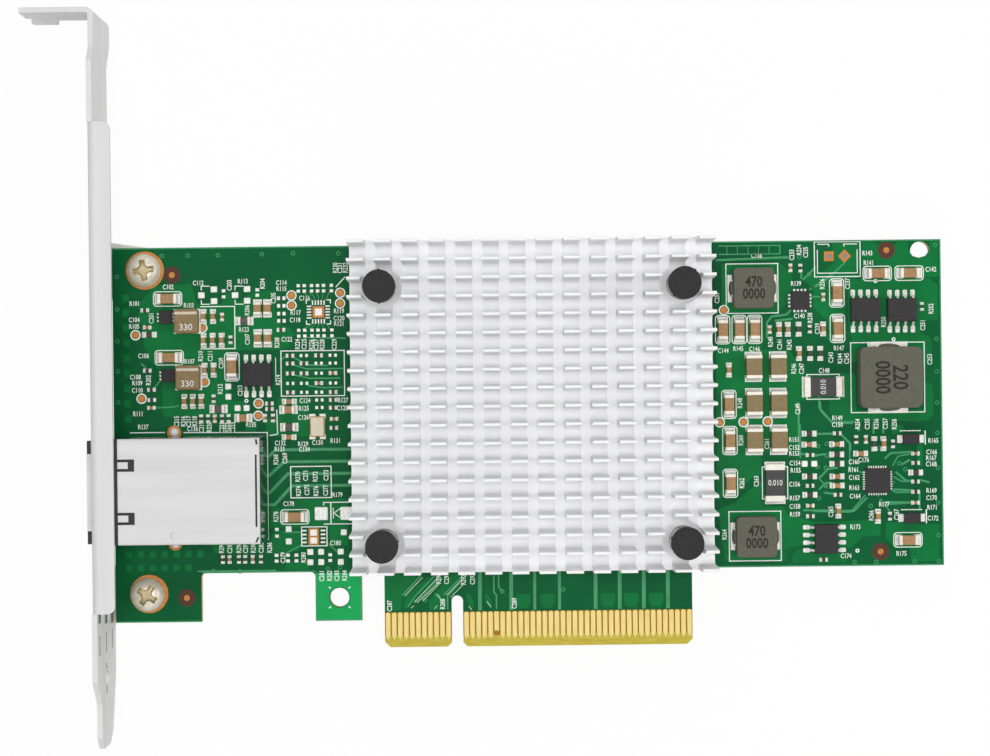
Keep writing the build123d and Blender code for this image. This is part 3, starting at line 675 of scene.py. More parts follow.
def lead_pads(pads):
    """Pad and solder at the foot of each lead."""
    bodies = [middle(b) for b in solids("lead_chip_bodies")]
    half = 0.36
    heel = 0.75
    toe = 0.35
    for lo, hi in solids("lead_chip_leads"):
        x, y, _ = middle((lo, hi))
        near = min(bodies, key=lambda b: math.hypot(b[0] - x, b[1] - y))
        if hi[1] - lo[1] > hi[0] - lo[0]:
            sign = 1 if y > near[1] else -1
            foot = hi[1] if sign > 0 else lo[1]
            pads.slab(rounded(x - half, foot - heel, x + half, foot + toe, 0.2), 0, LAND_TOP)
            pads.fillet((x, foot, 0), (0, sign, 0), (1, 0, 0), 0.3, 0.24, 0.22)
        else:
            sign = 1 if x > near[0] else -1
            foot = hi[0] if sign > 0 else lo[0]
            pads.slab(rounded(foot - heel, y - half, foot + toe, y + half, 0.2), 0, LAND_TOP)
            pads.fillet((foot, y, 0), (sign, 0, 0), (0, 1, 0), 0.3, 0.24, 0.22)
    for lo, hi in solids("diode_leads"):
        pads.block((lo[0] - 0.2, lo[1] - 0.2, 0), (hi[0] + 0.2, hi[1] + 0.2, LAND_TOP))


def leadless_lands(pads):
    """Lands that show round the leadless chips, on two sides of the smallest and four of the rest."""
    high = 0.07
    for box in solids("leadless_chip_bodies"):
        x, y, _ = middle(box)
        size = box[1][0] - box[0][0]
        count = 3 if size < 2.5 else 4 if size < 3.5 else 8
        pitch = size * 0.78 / count
        for i in range(count):
            place = (i - (count - 1) / 2) * pitch
            for sign in (-1, 1):
                edge = sign * (size / 2 + 0.12)
                pads.patch(x + edge, y + place, 0.5, pitch * 0.55, high)
                if count > 3:
                    pads.patch(x + place, y + edge, pitch * 0.55, 0.5, high)


def build_leads():
    """Gull-wing parts with their pads, and leadless parts with their lands."""
    copied("lead_chip_bodies", "epoxy", 0.06)
    copied("lead_chip_leads", "tin", 0.05)
    copied("leadless_chip_bodies", "epoxy", 0.05)
    copied("diode_bodies", "epoxy", 0.06)
    copied("diode_leads", "tin", 0.04)
    pads = Shape()
    lead_pads(pads)
    leadless_lands(pads)
    dots = Shape()
    for lo, hi in solids("leadless_chip_bodies"):
        dots.disc(lo[0] + 0.35, hi[1] - 0.35, 0.12, hi[2] + 0.004, hi[2] - 0.05, 14)
    for lo, hi in solids("lead_chip_bodies"):
        dots.disc(lo[0] + 0.75, lo[1] + 0.75, 0.24, hi[2] + 0.004, hi[2] - 0.05, 18)
    pads.piece("lead_pads", "solder", "tin_plate", (), 0.0)
    dots.piece("first_pin_dots", "print")


def moulded_core(node, finish_name, corner, bulge, upright):
    """Pressed core with round corners, swelling out over the middle of each terminal."""
    shape = Shape()
    for (x0, y0, z0), (x1, y1, z1) in solids(node):
        shape.slab(rounded(x0, y0, x1, y1, corner, 6), z0, z1)
        for sign in (-1, 1):
            x = (x0 + x1) / 2 if upright else (x1 if sign > 0 else x0)
            y = (y1 if sign > 0 else y0) if upright else (y0 + y1) / 2
            wide = bulge if upright else 0.55
            tall = 0.55 if upright else bulge
            outline = [(x + wide * px, y + tall * py) for px, py in ring(0, 0, 1.0, 28)]
            shape.slab(outline, z0, z0 + 0.6 * (z1 - z0), 0.12)
    shape.piece(node + "_soft", finish_name, finish_name, (node,), 0.28, 40)


def build_inductors():
    """Moulded and tan inductors with their lands and numbers."""
    moulded_core("large_inductor_body", "large_core", 1.15, 1.8, True)
    moulded_core("medium_inductor_bodies", "large_core", 0.72, 1.4, False)
    copied("small_inductor_bodies", "small_core", 0.12, 25, 3)
    pads = Shape()
    marks = Shape()
    pale = Shape()
    stripes = Shape()
    for node in ("large_inductor_terminals", "medium_inductor_terminals", "small_inductor_terminals"):
        copied(node, "tin", 0.05)
        for lo, hi in solids(node):
            pads.block((lo[0] - 0.22, lo[1] - 0.22, 0), (hi[0] + 0.22, hi[1] + 0.22, 0.06))
    printed = (
        ("large_inductor_body", 3.5, -90, (("220", 1.35, 0), ("0000", -1.55, 0))),
        ("medium_inductor_bodies", 2.4, 0, (("470", 0, 0.95), ("0000", 0, -1.05))),
    )
    for node, size, turn, rows in printed:
        for box in solids(node):
            x, y, _ = middle(box)
            for number, right, up in rows:
                lettering(marks, number, x + right, y + up, size, turn, box[1][2] + 0.01, 0.78, 0.022)
    for (x0, y0, _), (x1, y1, z1) in solids("small_inductor_bodies"):
        lettering(pale, "330", (x0 + x1) / 2, y0 + 1.0, 1.5, 0, z1 + 0.01, 1.0)
        stripes.block((x0 + 0.16, y1 - 0.95, z1 - 0.05), (x1 - 0.16, y1 - 0.5, z1 + 0.008))
    pads.piece("inductor_pads", "solder", "tin_plate", (), 0.0)
    marks.piece("inductor_marks", "print")
    pale.piece("small_inductor_marks", "pale")
    stripes.piece("small_inductor_stripes", "stripe")


def cross_depth(px, py):
    """Share of the recess's depth at a point of the head, 0 on the dome and 1 in the cross."""
    length = 1.68
    half = 0.4
    throat = 0.86
    slope = 0.2
    gap = min(max(abs(px) - length, abs(py) - half), max(abs(py) - length, abs(px) - half))
    gap = min(gap, (abs(px) + abs(py)) * 0.7071 - throat)
    return min(1.0, max(0.0, 0.5 - gap / slope))


def screw_head(shape, recess, x, y, low, high, radius, turned):
    """Pan head with a sunk cross."""
    rings = 36
    sides = 96
    depth = 0.95
    c = math.cos(turned)
    s = math.sin(turned)
    verts = []
    depths = []
    for row in range(rings + 1):
        reach = radius * row / rings
        dome = high - (high - low) * 0.85 * (reach / radius) ** 4
        for px, py in ring(0, 0, reach, sides):
            sunk = cross_depth(px, py)
            depths.append(sunk)
            verts.append((x + c * px - s * py, y + s * px + c * py, dome - depth * sunk))
    edge = len(verts) - sides
    verts += [(vx, vy, low) for vx, vy, _ in verts[edge:]]
    depths += [0.0] * sides
    outer = []
    inner = []
    for row in range(rings + 1):
        a = row * sides
        for i in range(sides):
            j = (i + 1) % sides
            face = [a + i, a + sides + i, a + sides + j, a + j]
            # Faces in the cross go to the recess piece, which takes a darker tan than the head: painted
            # shade in the recess.
            group = inner if min(depths[v] for v in face) > 0.02 else outer
            group.append(face)
    shape.add(verts, outer)
    recess.add(verts, inner)


def build_fixings():
    """Bracket screws, coil springs, and push-pins with their moulding nibs."""
    heads = Shape()
    floors = Shape()
    cross_turns = (58, 7)
    for turn, (lo, hi) in zip(cross_turns, solids("bracket_screws")):
        x, y, _ = middle((lo, hi))
        reach = (hi[0] - lo[0]) / 2
        screw_head(heads, floors, x, y, 0.02, hi[2], reach, math.radians(turn))
        heads.turned(x, y, [(1.4, lo[2]), (1.45, lo[2] + 0.25), (1.45, 0.1)], 32)
    heads.piece("pan_screws", "screw", "screw_steel", ("bracket_screws",), 0.0, 50)
    floors.piece("screw_recesses", "recess_shade", "screw_steel", (), 0.0, 50)
    copied("push_pins", "nylon", 0.22, 35, 3)
    nibs = Shape()
    wires = Shape()
    wire = 0.5
    windings = 3
    nib_reach = 2.62
    for lo, hi in solids("push_pin_springs"):
        x, y, _ = middle((lo, hi))
        wires.coil(x, y, lo[2], hi[2], (hi[0] - lo[0]) / 2, wire, windings)
    for count, (lo, hi) in enumerate(solids("push_pins")):
        x, y, _ = middle((lo, hi))
        if hi[0] - lo[0] < PIN_HEAD_LEAST:
            continue
        for turn in (200 + 70 * count, 20 + 70 * count):
            nx = x + nib_reach * math.cos(math.radians(turn))
            ny = y + nib_reach * math.sin(math.radians(turn))
            nibs.turned(nx, ny, [(0.2, hi[2] - 1.0), (0.22, hi[2] - 0.5), (0.1, hi[2] - 0.25)], 12)
    wires.piece("coil_springs", "wire", "spring_wire", ("push_pin_springs",), 0.0, 60)
    nibs.piece("push_pin_nibs", "nylon", "push_pin_nylon", (), 0.0)


def build_contacts():
    """Front contacts, each drawn out to a narrow tie at the lead-in bevel."""
    gold = Shape()
    for (x0, y0, _), (x1, y1, z1) in solids("edge_contacts_front"):
        x = (x0 + x1) / 2
        half = (x1 - x0) / 2 + 0.03
        if y0 > 2.0:
            gold.slab(rounded(x - half, y0, x + half, y1, 0.12, 3), 0, z1)
            continue
        side = [(0.12, y0 - 0.08), (0.14, y0 + 0.18), (half, y0 + 0.45)]
        side += [(half, y1 - 0.25), (half - 0.2, y1)]
        gold.slab([(x + a, b) for a, b in side] + [(x - a, b) for a, b in side[::-1]], 0, z1)
    gold.piece("front_contacts", "gold", "contact_gold", ("edge_contacts_front",), 0.03)


def loose(shape):
    """Object in millimetres for a shape that is cut or cuts."""
    mesh = bpy.data.meshes.new("loose")
    mesh.from_pydata(shape.verts, [], shape.faces)
    work = bmesh.new()
    work.from_mesh(mesh)
    bmesh.ops.remove_doubles(work, verts=work.verts, dist=1e-5)
    bmesh.ops.recalc_face_normals(work, faces=work.faces)
    work.to_mesh(mesh)
    work.free()
    obj = bpy.data.objects.new("loose", mesh)
    bpy.context.scene.collection.objects.link(obj)
    return obj


def carved(shape, cutters):
    """Mesh of a shape with other shapes cut out of it, one after another."""
    body = loose(shape)
    tools = [loose(cutter) for cutter in cutters]
    for tool in tools:
        cut = body.modifiers.new("cut", "BOOLEAN")
        cut.operation = "DIFFERENCE"
        cut.solver = "EXACT"
        cut.object = tool
    graph = bpy.context.evaluated_depsgraph_get()
    mesh = bpy.data.meshes.new_from_object(body.evaluated_get(graph))
    mesh.transform(Matrix.Scale(MM, 4))
    for used in [body] + tools:
        bpy.data.objects.remove(used)
    return mesh


def fin_side(pitch, root, tip, low, high):
    """Side of a fin from the round bottom of the slot to its tip, as offset and height."""
    hollow = pitch / 2 - root
    nose = 0.17
    turns = [math.radians(15 * i) for i in range(7)]
    side = [(pitch / 2 - hollow * math.sin(t), low + hollow * (1 - math.cos(t))) for t in turns]
    side += [(tip - nose * (1 - math.cos(t)), high - nose * (1 - math.sin(t))) for t in turns[::2]]
    return side


def sink_section(y0, y1, rows, root, pitch, side):
    """Section across the fins from edge to edge, as Y and height."""
    section = []
    for row in range(rows):
        y = y0 + root + pitch * row
        section += [(y - a, z) for a, z in (side if row == 0 else side[1:])]
        section += [(y + a, z) for a, z in side[::-1]]
    section = [(y, z) for y, z in section if y0 <= y <= y1]
    return [(y0, section[0][1])] + section + [(y1, section[-1][1])]


def sink_stations(x0, x1, columns, channel):
    """Places along X where the section changes, each with whether the fins stand there."""
    step = (x1 - x0 + channel) / columns
    stations = []
    for column in range(columns):
        left = x0 + step * column
        right = left + step - channel
        if column:
            stations.append((left, False))
        stations += [(left, True), (right, True)]
        if column + 1 < columns:
            stations.append((right, False))
    return stations


def sink_block(section, stations, level, foot_z):
    """Block under the section at each station, with the channels at one level."""
    count = len(section)
    last = len(stations) - 1
    ends = (stations[0][0], stations[last][0])
    edges = (section[0][0], section[-1][0])
    verts = []
    for x, high in stations:
        verts += [(x, y, z if high else level) for y, z in section]
    foot = len(verts)
    verts += [(x, y, foot_z) for x in ends for y in edges]
    faces = []
    for i in range(last):
        for j in range(count - 1):
            a = i * count + j
            faces.append([a, a + count, a + count + 1, a + 1])
    faces.append(list(range(count)) + [foot + 1, foot])
    faces.append(list(range(last * count, (last + 1) * count)) + [foot + 3, foot + 2])
    faces.append([i * count for i in range(last + 1)] + [foot + 2, foot])
    faces.append([i * count + count - 1 for i in range(last + 1)] + [foot + 3, foot + 1])
    faces.append([foot, foot + 1, foot + 3, foot + 2])
    block = Shape()
    block.add(verts, faces)
    return block


def build_sink():
    """Fins with round tips over round-bottomed slots, parted into rows by plain cross channels."""
    (x0, y0, z0), (x1, y1, z1) = [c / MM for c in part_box("heat_sink")]
    rows = 19
    columns = 14
    channel = 1.66
    root = 0.45
    tip = 0.25
    pocket = 3.3
    pin_hole = 1.6
    slot_floor = z0 + 1.55
    pitch = (y1 - y0 - 2 * root) / (rows - 1)
    side = fin_side(pitch, root, tip, slot_floor, z1)
    level = side[5][1]
    section = sink_section(y0, y1, rows, root, pitch, side)
    body = sink_block(section, sink_stations(x0, x1, columns, channel), level, z0)
    seat = level - 0.9
    step = [(pin_hole, z0 - 1), (pin_hole, seat), (pocket, seat), (pocket, z1 + 1)]
    pockets = Shape()
    for lo, hi in solids("push_pins"):
        if hi[0] - lo[0] > PIN_HEAD_LEAST:
            x, y, _ = middle((lo, hi))
            pockets.turned(x, y, step, 48)
    settle("finned_sink", carved(body, (pockets,)), "sink", ("heat_sink",), 0.0, 35)


def build_bracket_marks(plate):
    """Pressed ribs under the end of the flange and a pip on the tongue, with dark strips of painted shade
    beside the ribs, for three slits and at both ends of the pip.
    """
    tongue = [v.co / MM for v in plate.data.vertices if v.co.y < 0]
    face = max(p.x for p in tongue)
    near = max(p.z for p in tongue)
    far = min(p.z for p in tongue)
    past = (face + 1) * MM
    upper = 0.9 * near * MM
    flange_end = min(v.co.y for v in plate.data.vertices if v.co.x > past and v.co.z > upper) / MM
    sunk = face - 0.1
    proud = face + 0.03
    root = flange_end + 0.2
    ribs = Shape()
    groove_shade = Shape()
    half = ((0.0, -1.2), (0.15, -0.8), (0.22, 0.0), (0.15, 0.8), (0.0, 1.2))
    sides = [[i, (i + 1) % 5, 5 + (i + 1) % 5, 5 + i] for i in range(5)]
    for share in (0.3, 0.64, 0.93):
        z = near + (far - near) * share
        ends = [(face + out, y, z + up) for y in (flange_end - 1.9, root) for out, up in half]
        ribs.add(ends, sides + [[0, 1, 2, 3, 4], [9, 8, 7, 6, 5]])
    # Dark blocks standing a little proud of the tongue: painted shade beside the ribs and in three slits.
    for share, length in ((0.13, 1.7), (0.48, 2.3), (0.8, 2.8)):
        z = near + (far - near) * share
        groove_shade.block((sunk, flange_end - length, z - 1.0), (proud, root, z + 1.0))
        groove_shade.block((sunk, 0.5, z - 0.3), (proud, 3.7, z + 0.3))
    pip = Shape()
    pip.turned(0, 0, [(1.1, -0.1), (1.0, 0.2), (0.7, 0.5), (0.3, 0.62)], 24)
    z = near + (far - near) * 0.48
    ribs.add([(face + up, y - 3.6, z + across) for across, y, up in pip.verts], pip.faces)
    # Two dark blocks above and below the pip: painted shade at its ends.
    for low, high in ((-2.3, -1.4), (-6.3, -5.0)):
        groove_shade.block((sunk, low, z - 0.35), (proud, high, z + 0.35))
    ribs.piece("bracket_ribs", "bracket", "bracket_steel", (), 0.0, 50)
    groove_shade.piece("bracket_groove_shade", "pit", "bracket_steel")


def build_bracket():
    """Bracket with its upper ear trimmed to the board's edge."""
    plate = copied("bracket", "bracket", 0.12)
    low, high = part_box("circuit_board")
    edge = high.y - 0.3 * MM
    for vert in plate.data.vertices:
        if vert.co.x > low.x and edge < vert.co.y < edge + 2 * MM:
            vert.co.y = edge
    return plate


def build_jack_marks(plate):
    """Dimple and corner slots in the jack's top, and a dark strip along the bracket's flange that is a
    painted shadow of the flange.
    """
    low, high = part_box("jack_shield")
    top = high.z / MM
    skin = top + 0.004
    dome = [(0.62, top - 0.05), (0.55, top + 0.06), (0.4, top + 0.15), (0.2, top + 0.19)]
    dimple = Shape()
    dimple.turned(-45.2, 19.8, dome, 28)
    dimple.piece("jack_dimple", "shield", "shield_metal", (), 0.0, 60)
    slots = Shape()
    x = high.x / MM - 0.55
    for y, lean in ((high.y / MM - 0.75, -0.3), (low.y / MM + 0.75, 0.3)):
        outline = [(x - 0.22, y - 0.42), (x + 0.1, y - 0.42), (x + 0.22, y + 0.42), (x - 0.1, y + 0.42)]
        slots.slab([(px + lean * (py - y), py) for px, py in outline], top - 0.1, skin)
    # Dark strip on the jack's top beside the flange's lip: painted shadow of the flange.
    lip = max(v.co.x for v in plate.data.vertices if v.co.z > high.z) / MM
    slots.block((lip - 0.1, low.y / MM + 0.05, top - 0.1), (lip + 0.5, high.y / MM - 0.05, skin))
    slots.piece("jack_slots_and_flange_shadow", "plastic", "jack_plastic")


def build_large_parts():
    """Board, contacts, bracket, jack, controller, heat sink and crystal."""
    shown("circuit_board", "board")
    build_contacts()
    shown("edge_contacts_back", "gold")
    plate = build_bracket()
    copied("jack_shield", "shield", 0.07)
    copied("jack_housing", "plastic", 0.08)
    copied("jack_lenses", "lens", 0.1)
    copied("jack_contacts", "gold", 0.04)
    copied("jack_pins", "tin", 0.08)
    copied("controller_substrate", "substrate", 0.05)
    copied("controller_lid", "lid", 0.2)
    copied("thermal_pad", "pad", 0.05)
    build_sink()
    copied("crystal_base", "crystal", 0.05)
    copied("crystal_lid", "can", 0.12)
    build_jack_marks(plate)
    build_bracket_marks(plate)


POURS = (
    [
        (-52.2, 57.6), (-49.6, 60.4), (-43.6, 60.7), (-43.2, 59.4), (-42.6, 57.4), (-38.6, 57.3),
        (-37.8, 59.2), (-36.4, 59.3), (-35.8, 57.6), (-33.2, 59.4), (-29.8, 59.4), (-29.6, 54.2),
        (-27.3, 53.2), (-26.2, 52.0), (-27.6, 51.4), (-27.4, 50.0), (-29.0, 49.6), (-37.3, 49.6),
        (-37.4, 41.2), (-34.6, 41.2), (-34.4, 38.8), (-37.2, 38.3), (-41.0, 38.6), (-48.4, 38.7),
        (-48.6, 44.4), (-49.4, 45.4), (-49.2, 46.6), (-50.6, 48.0), (-51.6, 50.8), (-51.2, 53.4),
        (-52.3, 54.6),
    ],
    [
        (-29.4, 41.6), (-25.6, 41.8), (-24.3, 41.0), (-24.3, 35.2), (-31.2, 35.3), (-31.2, 38.4),
        (-29.5, 38.4),
    ],
    [
        (-31.0, 20.1), (-30.9, 23.3), (-28.9, 23.4), (-26.3, 24.7), (-18.0, 24.8), (-18.0, 17.0),
        (-20.9, 17.2), (-21.2, 20.2), (-29.2, 20.0),
    ],
    [
        (-30.2, 19.6), (-25.8, 19.6), (-25.6, 17.0), (-26.4, 16.2), (-29.2, 15.7), (-30.6, 15.8),
        (-30.8, 18.4),
    ],
    [(-40.6, 17.6), (-31.9, 17.6), (-31.8, 16.2), (-32.6, 15.9), (-40.2, 16.0)],
    [(-28.4, 14.3), (-24.6, 14.5), (-24.6, 13.1), (-28.4, 13.1)],
    [
        (43.4, 48.6), (52.0, 48.8), (55.6, 48.6), (57.2, 46.2), (57.4, 44.8), (66.3, 44.6),
        (66.4, 38.4), (62.2, 38.2), (62.0, 40.2), (56.8, 40.3), (56.8, 31.8), (50.7, 31.6),
        (50.7, 28.0), (49.3, 27.7), (46.5, 24.9), (43.3, 23.9),
    ],
    [(43.6, 54.8), (51.3, 54.8), (51.4, 50.2), (50.8, 48.4), (43.5, 48.4)],
    [(44.5, 63.0), (54.1, 63.1), (56.2, 61.4), (56.0, 57.0), (54.0, 55.1), (44.4, 55.0)],
    [
        (62.9, 66.3), (67.7, 66.3), (67.6, 60.6), (64.8, 60.4), (65.0, 50.3), (61.5, 50.2),
        (62.0, 51.4), (61.6, 53.6), (59.7, 55.6), (59.6, 58.6), (57.8, 60.8), (59.9, 61.4),
        (61.4, 61.6), (63.4, 63.2), (62.9, 64.6),
    ],
    [
        (65.4, 60.3), (78.9, 60.3), (80.3, 59.2), (80.3, 53.3), (77.7, 53.2), (77.4, 50.9),
        (65.8, 50.9), (65.4, 53.0),
    ],
    [
        (67.9, 66.3), (69.8, 66.3), (70.3, 65.9), (73.4, 65.9), (73.8, 66.4), (75.5, 66.4),
        (75.5, 65.0), (76.2, 64.0), (77.2, 63.7), (78.3, 64.0), (79.0, 65.0), (79.0, 66.4),
        (80.4, 66.4), (80.4, 60.5), (67.9, 60.4),
    ],
    [
        (65.8, 46.6), (66.0, 51.0), (77.6, 51.0), (78.9, 50.5), (79.2, 49.6), (79.2, 46.6),
        (77.9, 45.6),
    ],
    [
        (62.4, 37.9), (63.2, 40.8), (65.2, 44.2), (66.6, 44.2), (66.6, 38.5), (77.8, 38.5),
        (78.1, 43.2), (79.3, 42.6), (79.4, 37.7), (78.3, 36.6), (63.6, 36.7),
    ],
    [
        (43.5, 22.3), (46.3, 23.4), (48.7, 25.5), (51.0, 26.8), (50.9, 22.8), (54.2, 22.6),
        (55.4, 20.9), (57.6, 20.6), (59.4, 20.0), (66.4, 20.2), (70.4, 20.3), (70.4, 17.7),
        (67.4, 17.5), (65.4, 15.7), (59.4, 16.1), (55.5, 16.0), (54.4, 15.4), (54.6, 13.6),
        (44.5, 13.7),
    ],
    [(55.6, 13.2), (55.8, 14.6), (56.8, 15.6), (64.0, 15.5), (64.8, 14.2), (64.6, 13.2)],
    [
        (71.3, 19.8), (74.2, 19.9), (75.0, 19.5), (80.2, 19.5), (80.1, 13.3), (75.5, 13.3),
        (75.2, 15.6), (72.8, 15.6), (71.3, 17.0),
    ],
    [(76.6, 33.1), (77.5, 33.1), (77.5, 29.1), (76.6, 29.1)],
    [(72.0, 36.2), (74.2, 36.0), (74.8, 34.9), (72.6, 34.4)],
    [(-12.0, 12.5), (-6.2, 12.5), (-9.1, 8.7), (-9.5, 6.1), (-12.0, 6.1)],
    [(-8.4, 8.6), (-4.8, 11.6), (-4.2, 11.6), (-8.1, 6.8), (-8.9, 6.4)],
    [(-3.6, 8.8), (-1.2, 12.0), (0.6, 12.0), (-1.6, 9.4), (-1.8, 6.1), (-4.6, 6.1), (-4.8, 7.6)],
)


def build_copper():
    """Copper areas and tracks under the mask, bare copper, lands and vias."""
    pours = Shape()
    for count, outline in enumerate(POURS):
        pours.slab(outline, 0.0, 0.003 + 0.0002 * count)
    # The tab's copper takes its own brighter green: copper under the mask, plus painted light for the
    # bounce from the floor round the tab.
    tab = Shape()
    hole = 1.75
    turns = [i * math.pi / 10 for i in range(11)]
    for side in (-1, 1):
        arc = [(HOLE_X + side * hole * math.sin(t), HOLE_Y - hole * math.cos(t)) for t in turns]
        rim = -23.3 if side < 0 else -16.0
        corners = [(HOLE_X, 12.5), (rim, 12.5), (rim, 4.75), (HOLE_X, 4.75)]
        tab.slab(arc + corners, 0.0, 0.009)
    for x, wide in ((-41.2, 1.2), (-38.2, 1.8), (-33.9, 1.8), (-30.4, 2.0)):
        pours.patch(x, 37.1, wide, 1.9, 0.0095)
    for count in range(9):
        pours.patch(-54.5 + 0.03 * count, 58.5 - 2.51 * count, 1.1, 1.2, PATCH_TOP)
    for squares, y, tall in ((7, 15.9, 1.1), (6, 13.6, 1.0)):
        for count in range(squares):
            pours.patch(-54.4 + 1.98 * count, y, 1.0, tall, PATCH_TOP)
    broad = ((-1.2, 8.6), (1.2, 8.6), (1.2, 7.2), (0.8, 6.3), (-0.8, 6.3), (-1.2, 7.2))
    bent = ((0.0, 8.7), (0.5, 8.7), (1.2, 7.6), (1.2, 6.3), (0.3, 7.0))
    for stub, places in ((broad, (11.0, 15.0, 25.0, 28.9, 33.0)), (bent, (1.5, 4.5))):
        for x in places:
            pours.slab([(x + right, y) for right, y in stub], 0.0, PATCH_TOP)
    pours.piece("copper_areas", "pour", "board_laminate")
    tab.piece("tab_copper", "tab", "board_laminate")
    build_tracks()
    build_glints()
    build_wells()
    build_bare_copper()


BUS_TRACKS = (
    [(-17.2, 33.0), (-29.9, 33.0), (-31.1, 31.8)], [(-17.2, 31.0), (-28.5, 31.0), (-31.1, 28.6)],
    [(-17.2, 29.0), (-27.9, 29.0), (-30.9, 25.9), (-31.1, 26.1)],
    [(-17.2, 27.0), (-27.2, 27.0), (-30.1, 23.9), (-31.1, 23.9)],
)
RUN_TRACKS = (
    [(59.9, 34.65), (62.6, 34.65)], [(63.9, 34.6), (65.5, 33.0), (65.5, 31.8)],
    [(59.1, 30.9), (61.3, 31.3)], [(60.2, 27.2), (61.8, 28.8), (63.4, 29.0)],
    [(60.2, 25.4), (61.4, 26.5), (62.4, 26.5)], [(61.0, 24.9), (63.0, 24.6)],
    [(57.6, 22.0), (66.0, 21.8), (68.2, 24.0)], [(71.2, 30.4), (72.2, 31.3), (75.6, 31.5)],
    [(72.6, 25.3), (75.8, 25.1)], [(71.4, 23.2), (75.8, 23.1)], [(76.9, 25.0), (76.9, 21.8)],
    [(73.0, 28.2), (74.6, 26.8), (75.6, 26.6)], [(77.0, 26.8), (78.6, 26.4)],
    [(74.0, 29.4), (75.4, 30.2)], [(66.9, 36.3), (66.9, 35.0)], [(69.4, 36.4), (69.4, 34.6)],
    [(71.0, 36.4), (71.0, 34.6)],
    [(51.9, 50.6), (51.9, 53.2), (52.7, 54.2), (55.2, 54.5), (55.9, 55.3)],
    [(53.2, 53.5), (56.2, 53.8)], [(60.6, 40.0), (60.6, 38.6), (62.6, 36.4), (66.0, 36.4)],
    [(57.0, 40.0), (57.0, 31.9)], [(57.2, 31.4), (58.4, 31.2)], [(57.7, 62.6), (57.7, 60.4)],
    [(60.2, 62.4), (57.9, 60.2)],
)
THIN_TRACKS = (
    [(-9.1, 8.6), (-6.1, 11.8)], [(-8.2, 6.7), (-7.0, 8.4), (-3.7, 11.8)], [(-7.1, 7.4), (-2.9, 11.4)],
    [(-6.0, 7.9), (-2.4, 11.4)], [(-2.2, 8.6), (0.9, 11.8)], [(-1.6, 6.2), (-1.6, 8.4), (1.6, 11.8)],
    [(-3.7, 8.9), (-2.8, 7.9)], [(6.1, 12.0), (6.1, 9.0), (6.5, 8.5), (6.5, 6.2)],
    [(6.9, 12.0), (6.9, 9.8), (7.5, 9.1)], [(43.5, 63.7), (55.5, 64.1)], [(57.2, 36.3), (57.2, 30.6)],
    [(60.4, 41.5), (60.4, 39.0), (62.6, 36.6), (66.4, 36.6)], [(59.9, 34.6), (62.9, 34.7)],
    [(63.9, 34.6), (65.4, 33.0), (65.4, 29.0), (67.6, 28.0)], [(61.2, 31.2), (59.4, 31.2)],
    [(61.6, 25.6), (60.2, 27.4)], [(67.9, 24.4), (65.4, 21.6), (59.3, 21.8)],
    [(72.5, 29.2), (73.4, 30.8), (75.8, 31.2)], [(72.6, 27.4), (74.0, 26.6), (75.8, 26.6)],
    [(72.3, 25.2), (73.0, 24.8), (75.8, 24.8)], [(70.2, 24.3), (70.4, 22.8), (75.8, 23.0)],
    [(70.0, 24.3), (72.0, 21.6)], [(62.5, 61.0), (59.4, 58.8)],
    [(64.9, 63.0), (61.2, 59.6), (59.0, 58.6)], [(59.2, 57.4), (60.9, 57.4)],
    [(-50.0, 43.4), (-48.6, 45.0)], [(-49.8, 40.2), (-46.8, 40.3), (-45.8, 40.6)],
    [(-52.0, 47.6), (-50.8, 46.4)], [(-24.6, 51.6), (-18.0, 51.4)],
    [(-26.6, 47.0), (-24.6, 46.4), (-18.4, 46.4)], [(-26.6, 45.4), (-24.0, 44.8), (-19.0, 44.8)],
    [(-26.6, 48.2), (-24.0, 47.0), (-21.0, 46.9)], [(-24.4, 43.6), (-21.6, 43.2), (-18.6, 43.3)],
    [(-29.0, 47.8), (-28.0, 48.5)], [(-25.7, 17.2), (-28.0, 16.0), (-28.8, 15.2)],
    [(-21.4, 17.4), (-19.4, 15.6)], [(-43.0, 13.0), (-30.0, 13.0)], [(-28.6, 19.3), (-25.8, 19.3)],
)
# The first four run along the board's edges and the tab's sides, as painted highlights of the lit board
# edges; the last two are tracks near the top edge.
BORDERS_AND_EDGE_HIGHLIGHTS = (
    [(-23.4, 12.8), (-23.4, 4.68), (-15.9, 4.68), (-15.9, 12.8)], [(-56.5, 4.7), (-42.5, 4.7)],
    [(-56.4, 66.62), (80.72, 66.62), (80.72, 12.78), (42.0, 12.78)], [(-42.3, 12.78), (-23.6, 12.78)],
    [(44.0, 66.0), (54.2, 66.0), (54.2, 64.6), (44.0, 64.6)], [(43.6, 63.6), (55.6, 63.9)],
)
GLINTS = (
    [(-8.7, 8.5), (-5.7, 11.6)], [(-7.1, 7.5), (-3.2, 11.5)], [(-7.7, 6.5), (-7.2, 6.9)],
    [(-6.7, 7.4), (-2.6, 11.0)], [(-5.7, 7.7), (-2.9, 10.5)], [(-3.3, 8.8), (-2.6, 7.8)],
    [(-1.7, 8.6), (0.9, 11.3)], [(-1.1, 8.2), (1.3, 10.6)], [(1.9, 6.7), (2.4, 6.1)],
    [(-3.8, 6.3), (-3.3, 6.9)], [(4.9, 7.5), (5.6, 6.5)], [(8.9, 6.3), (9.4, 6.8)],
)
VIAS = [(-48.4, 65.4), (-44.1, 65.4), (-39.1, 65.4), (-31.8, 65.5), (-26.6, 65.6), (-19.1, 65.5)]
VIAS += [(-55.9, y) for y in (62.0, 56.6, 51.3, 46.3, 41.2)]
VIAS += [(80.0, y) for y in (65.8, 50.2, 44.8, 39.6, 34.6, 28.8, 23.0, 17.6)]
VIAS += [(x, 13.3) for x in (66.0, 69.6, 76.0, 80.0)]
VIAS += [(59.0, 61.2), (57.4, 64.0), (60.2, 32.6), (60.0, 29.2), (60.2, 24.0), (61.4, 26.0)]
